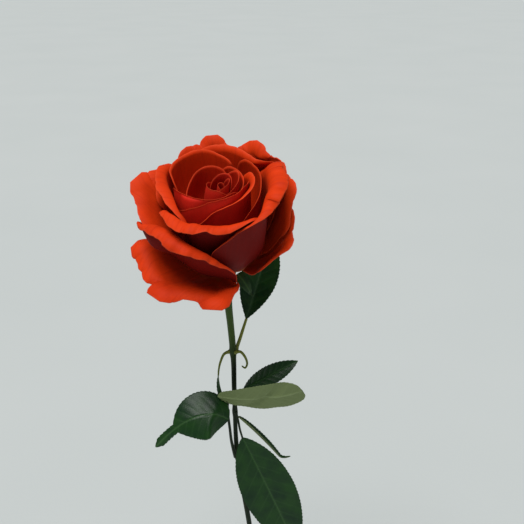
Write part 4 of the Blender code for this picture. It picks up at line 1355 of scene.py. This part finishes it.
    def plain_net(self, petal: Petal, seat: float, seed: int) -> tuple[Array, Array, Array]:
        """Radius, direction and height over a petal before it is nested.

        From the seat to the rim it is a cubic Bezier curve in radius and height, whose end slopes
        are rise and lean. Past the rim the lip rolls outwards.

        Args:
            petal: which.
            seat: the radius where it leaves the hip.
            seed: which unevenness.

        Returns:
            The three tables, of shape (rows, columns).
        """
        rim = self.rim_line(petal, seed)
        t = np.minimum(np.arange(self.along + 1) / self.rim_row, 1)[:, None]
        rim_r, rim_z = rim[None, :, 1], rim[None, :, 2]
        rise, lean = math.radians(petal.rise), math.radians(petal.lean)
        seat_z = -self.cone * seat
        reach = self.slope_share * np.hypot(rim_r - seat, rim_z - seat_z)
        weights = ((1 - t) ** 3, 3 * t * (1 - t) ** 2, 3 * t * t * (1 - t), t**3)
        radii = (seat, seat + reach * math.cos(rise), rim_r - reach * math.cos(lean), rim_r)
        heights = (seat_z, seat_z + reach * math.sin(rise), rim_z - reach * math.sin(lean), rim_z)
        r = sum(w * a for w, a in zip(weights, radii))
        z = sum(w * a for w, a in zip(weights, heights))
        up_share = np.arange(self.along + 1) / self.along
        widening = np.sin(np.minimum(up_share / self.widening_share, 1) * math.pi / 2)[:, None]
        middle = (rim[0, 0] + rim[-1, 0]) / 2
        spread = (rim[None, :, 0] - middle) * (self.base_width + (1 - self.base_width) * widening)
        return self.rolled(petal, rim, r, np.radians(middle + spread), z, seed)

    def rolled(
        self, petal: Petal, rim: Array, r: Array, direction: Array, z: Array, seed: int
    ) -> tuple[Array, Array, Array]:
        """Rolls the rows past the rim outwards about the rim line itself.

        At a share s of the lip's length L, and with a roll of c, a point stands L/c * sin(cs) from
        the rim along the petal, square to the rim, and L/c * (1 - cos(cs)) off it.

        Args:
            petal: which.
            rim: the rim's rows.
            r: radii, of shape (rows, columns).
            direction: directions in radians.
            z: heights.
            seed: which unevenness.

        Returns:
            The three tables with the lip rolled.
        """
        turn = direction[-1]
        line = from_polar(r[-1], turn, z[-1])
        lean = math.radians(petal.lean)
        up = from_polar(math.cos(lean), turn, np.full(len(turn), math.sin(lean)))
        way = unit(np.gradient(line, axis=0))
        beyond = unit(up - way * (way * up).sum(axis=-1, keepdims=True))
        off = np.cross(way, beyond)
        past = np.clip((np.arange(self.along + 1) - self.rim_row) / (self.along - self.rim_row), 0, 1)
        arc = np.append(0, np.linalg.norm(np.diff(line, axis=0), axis=1).cumsum())
        uneven = self.curl_ripple * ripple(arc / 12, seed + 100, 0.4, 1.5)
        curl = math.radians(petal.curl) * (1 + uneven)
        length = np.maximum(rim[:, 3], self.shortest_lip)
        angle = curl[None, :] * past[:, None]
        lift = (length / curl * np.sin(angle))[..., None] * beyond
        out = (length / curl * (1 - np.cos(angle)))[..., None] * off
        points = from_polar(r, direction, z) + lift + out
        turned_to = np.arctan2(points[..., 1], points[..., 0])
        turned_to = direction + (turned_to - direction + math.pi) % (2 * math.pi) - math.pi
        return np.hypot(points[..., 0], points[..., 1]), turned_to, points[..., 2]

    def hearted(self, net: Array) -> Array:
        """Moves the heart of the bloom off its middle, more the higher and the nearer the middle."""
        off_middle = np.exp(-((np.hypot(net[..., 0], net[..., 1]) / self.heart_reach) ** 4))
        high = (np.clip(net[..., 2], 0, None) / self.heart_height) ** 1.5
        return net + (off_middle * high)[..., None] * np.array([*self.heart, 0.0])

    def nets(self) -> list[Array]:
        """Every petal's net in the bloom's frame, pushed out until it clears those inside it.

        The gap that is asked is square to the petal, so it is wider where the petal lies flat. The
        push is widened and smoothed over the net, and is never less than what is asked.

        Returns:
            The nets, in millimetres.
        """
        shell = Shell()
        gap = np.linspace(self.gap_at_seat, self.gap_at_rim, self.along + 1)[:, None]
        in_body = np.arange(self.along + 1)[:, None] < self.rim_row
        nets = []
        seats = np.linspace(self.seat_first, self.seat_last, len(self.petals))
        for number, (petal, seat) in enumerate(zip(self.petals, seats), 1):
            r, direction, z = self.plain_net(petal, seat, number)
            inside = shell.inside(direction, z)
            run, climb = np.gradient(r, axis=0), np.gradient(z, axis=0)
            steepness = np.where(in_body, np.abs(climb) / np.maximum(np.hypot(run, climb), 1e-9), 1)
            asked = np.where(inside > 0, inside + gap / np.maximum(steepness, self.flattest), 0)
            push = np.maximum(asked - r, 0)
            smooth = blurred(blurred(widest_near(push, 4), 4), 3)
            r = r + np.maximum(smooth, push - self.push_slack)
            shell.take(r, direction, z)
            nets.append(self.hearted(from_polar(r, direction, z)))
        return nets

    def build(self) -> None:
        """Makes the petals."""
        finish = self.finish.material()
        lift = np.array([0, 0, self.clearance + self.thickness / 2])
        claw_rows = self.claw_share * self.rim_row
        claw = np.clip(1 - np.arange(self.along + 1) / claw_rows, 0, 1)[:, None] ** 1.5
        for number, net in enumerate(self.nets(), 1):
            across, along = net_lengths(net)
            edge = np.minimum(along[-1:] - along, np.minimum(across, across[:, -1:] - across))
            # the margin mark places the paler edge colour: partly painted light showing through the
            # thin edge
            margin = self.margin_strength * np.exp(-edge / self.margin_width)
            young = np.full(margin.shape, 1 - (number - 1) / (len(self.petals) - 1))
            marks = {"margin": margin, "young": young, "claw": np.broadcast_to(claw, margin.shape)}
            thinning = self.edge_thinning * np.exp(-edge / self.edge_reach)
            thickness = self.thickness * (1 - thinning) * MM
            points = in_frame((net + lift) * MM, self.frame)
            piece = closed_sheet(points, thickness, marks).piece(f"rose_petal_{number:02d}", finish)
            stand_for(piece, f"petal_{number:02d}")


# ---------------------------------------------------------------- the whole rose
@dataclass
class Rose:
    """The cut rose in its vase: works out where the stem rests and how the bloom faces."""

    stem_radius: float = 1.6 * MM
    clearance: float = 0.3 * MM
    nod: float = math.radians(25.0)
    lean: float = math.radians(6.6)
    vase: Vase = field(default_factory=Vase)

    def mouth(self) -> Array:
        """The stem's middle line where it rests on the left of the neck, level with the vase's top."""
        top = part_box("vase")[1].z
        return np.array([-(self.vase.bore - self.stem_radius - self.clearance), 0, top])

    def axis(self) -> Vector:
        """The way the bloom faces: up, nodding to the front and leaning left."""
        return Vector((-math.tan(self.lean), -math.tan(self.nod), 1)).normalized()

    def bloom_frame(self, stem: Stem, calyx: Calyx) -> Matrix:
        """The bloom's own frame: its origin is the middle of the hip's top, and its Z is its axis."""
        up = self.axis()
        right = (Vector((1, 0, 0)) - up * up.x).normalized()
        under_hip = Vector(self.mouth() + np.array(stem.rise[-1][:3]) * MM)
        hip = calyx.height + calyx.cone * calyx.rim_radius + self.clearance / MM
        frame_matrix = Matrix((right, up.cross(right), up)).transposed().to_4x4()
        frame_matrix.translation = under_hip + up * hip * MM
        return frame_matrix

    def build(self) -> None:
        """Makes every piece."""
        stem = Stem(self.mouth(), np.array(self.axis()))
        calyx = Calyx(Matrix())
        calyx.bloom = self.bloom_frame(stem, calyx)
        self.vase.build()
        stem.build()
        Foliage(self.mouth()).build()
        calyx.build()
        Bloom(calyx.bloom).build()


# ---------------------------------------------------------------- studio
@dataclass
class Studio:
    """A pale floor that runs out of sight, one large soft lamp above, and even light all round."""

    target: Vector
    elevation: float = math.radians(20)
    distance: float = 506.5 * MM
    lens: float = 60.0
    sensor: float = 36.0
    floor_half: float = 25.0
    sun_strength: float = 2.9
    sun_softness: float = math.radians(35)
    sun_way: tuple[float, float, float] = (0.2, 0.42, -1.0)
    sky_strength: float = 0.26
    sky: str = "dfe6ea"
    horizon: str = "c8cdcb"
    finish: FloorFinish = FloorFinish()

    def camera(self) -> None:
        """Places the camera in front, looking down a little at the rose."""
        data = bpy.data.cameras.new("camera")
        data.lens, data.sensor_width = self.lens, self.sensor
        data.clip_end = 100
        camera = bpy.data.objects.new("camera", data)
        back = Vector((0, -math.cos(self.elevation), math.sin(self.elevation)))
        camera.location = self.target + back * self.distance
        camera.rotation_euler = (math.pi / 2 - self.elevation, 0, 0)
        bpy.context.scene.collection.objects.link(camera)
        bpy.context.scene.camera = camera

    def light(self) -> None:
        """Adds the lamp above and the light all round, which the camera sees as more floor."""
        data = bpy.data.lights.new("softbox_above", "SUN")
        data.energy = self.sun_strength
        data.angle = self.sun_softness
        lamp = bpy.data.objects.new("softbox_above", data)
        lamp.rotation_euler = Vector(self.sun_way).to_track_quat("-Z", "Y").to_euler()
        bpy.context.scene.collection.objects.link(lamp)
        world = bpy.data.worlds.new("pale_room")
        world.use_nodes = True
        bpy.context.scene.world = world
        tree = world.node_tree
        path = add_node(tree, "LightPath", {}).outputs["Is Camera Ray"]
        seen = tree.nodes["Background"]
        seen.inputs["Color"].default_value = linear(self.horizon)
        room = add_node(tree, "Background", {"Color": linear(self.sky), "Strength": self.sky_strength})
        both = add_node(tree, "MixShader", {0: path, 1: room, 2: seen})
        feed(tree.nodes["World Output"], {"Surface": both})

    def floor(self) -> None:
        """Lays the floor."""
        grid = np.linspace(-self.floor_half, self.floor_half, 3)
        x, y = np.meshgrid(grid, grid)
        points = np.stack([x, y, np.zeros_like(x)], axis=-1).reshape(-1, 3)
        index = np.arange(9).reshape(3, 3)
        faces = np.stack([index[:-1, :-1], index[:-1, 1:], index[1:, 1:], index[1:, :-1]], axis=-1)
        Skin(points, faces.reshape(-1, 4)).piece("floor", self.finish.material())

    def build(self) -> None:
        """Makes the camera, the light and the floor."""
        bpy.context.scene.view_settings.view_transform = "Standard"
        self.camera()
        self.light()
        self.floor()


def main() -> None:
    """Builds the rose and the room round it."""
    logging.basicConfig(level=logging.INFO, format="%(name)s: %(message)s")
    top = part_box("vase")[1].z
    Studio(Vector((AIM_RIGHT, 0, top + AIM_ABOVE_VASE))).build()
    Rose().build()


if __name__ == "__main__":
    main()
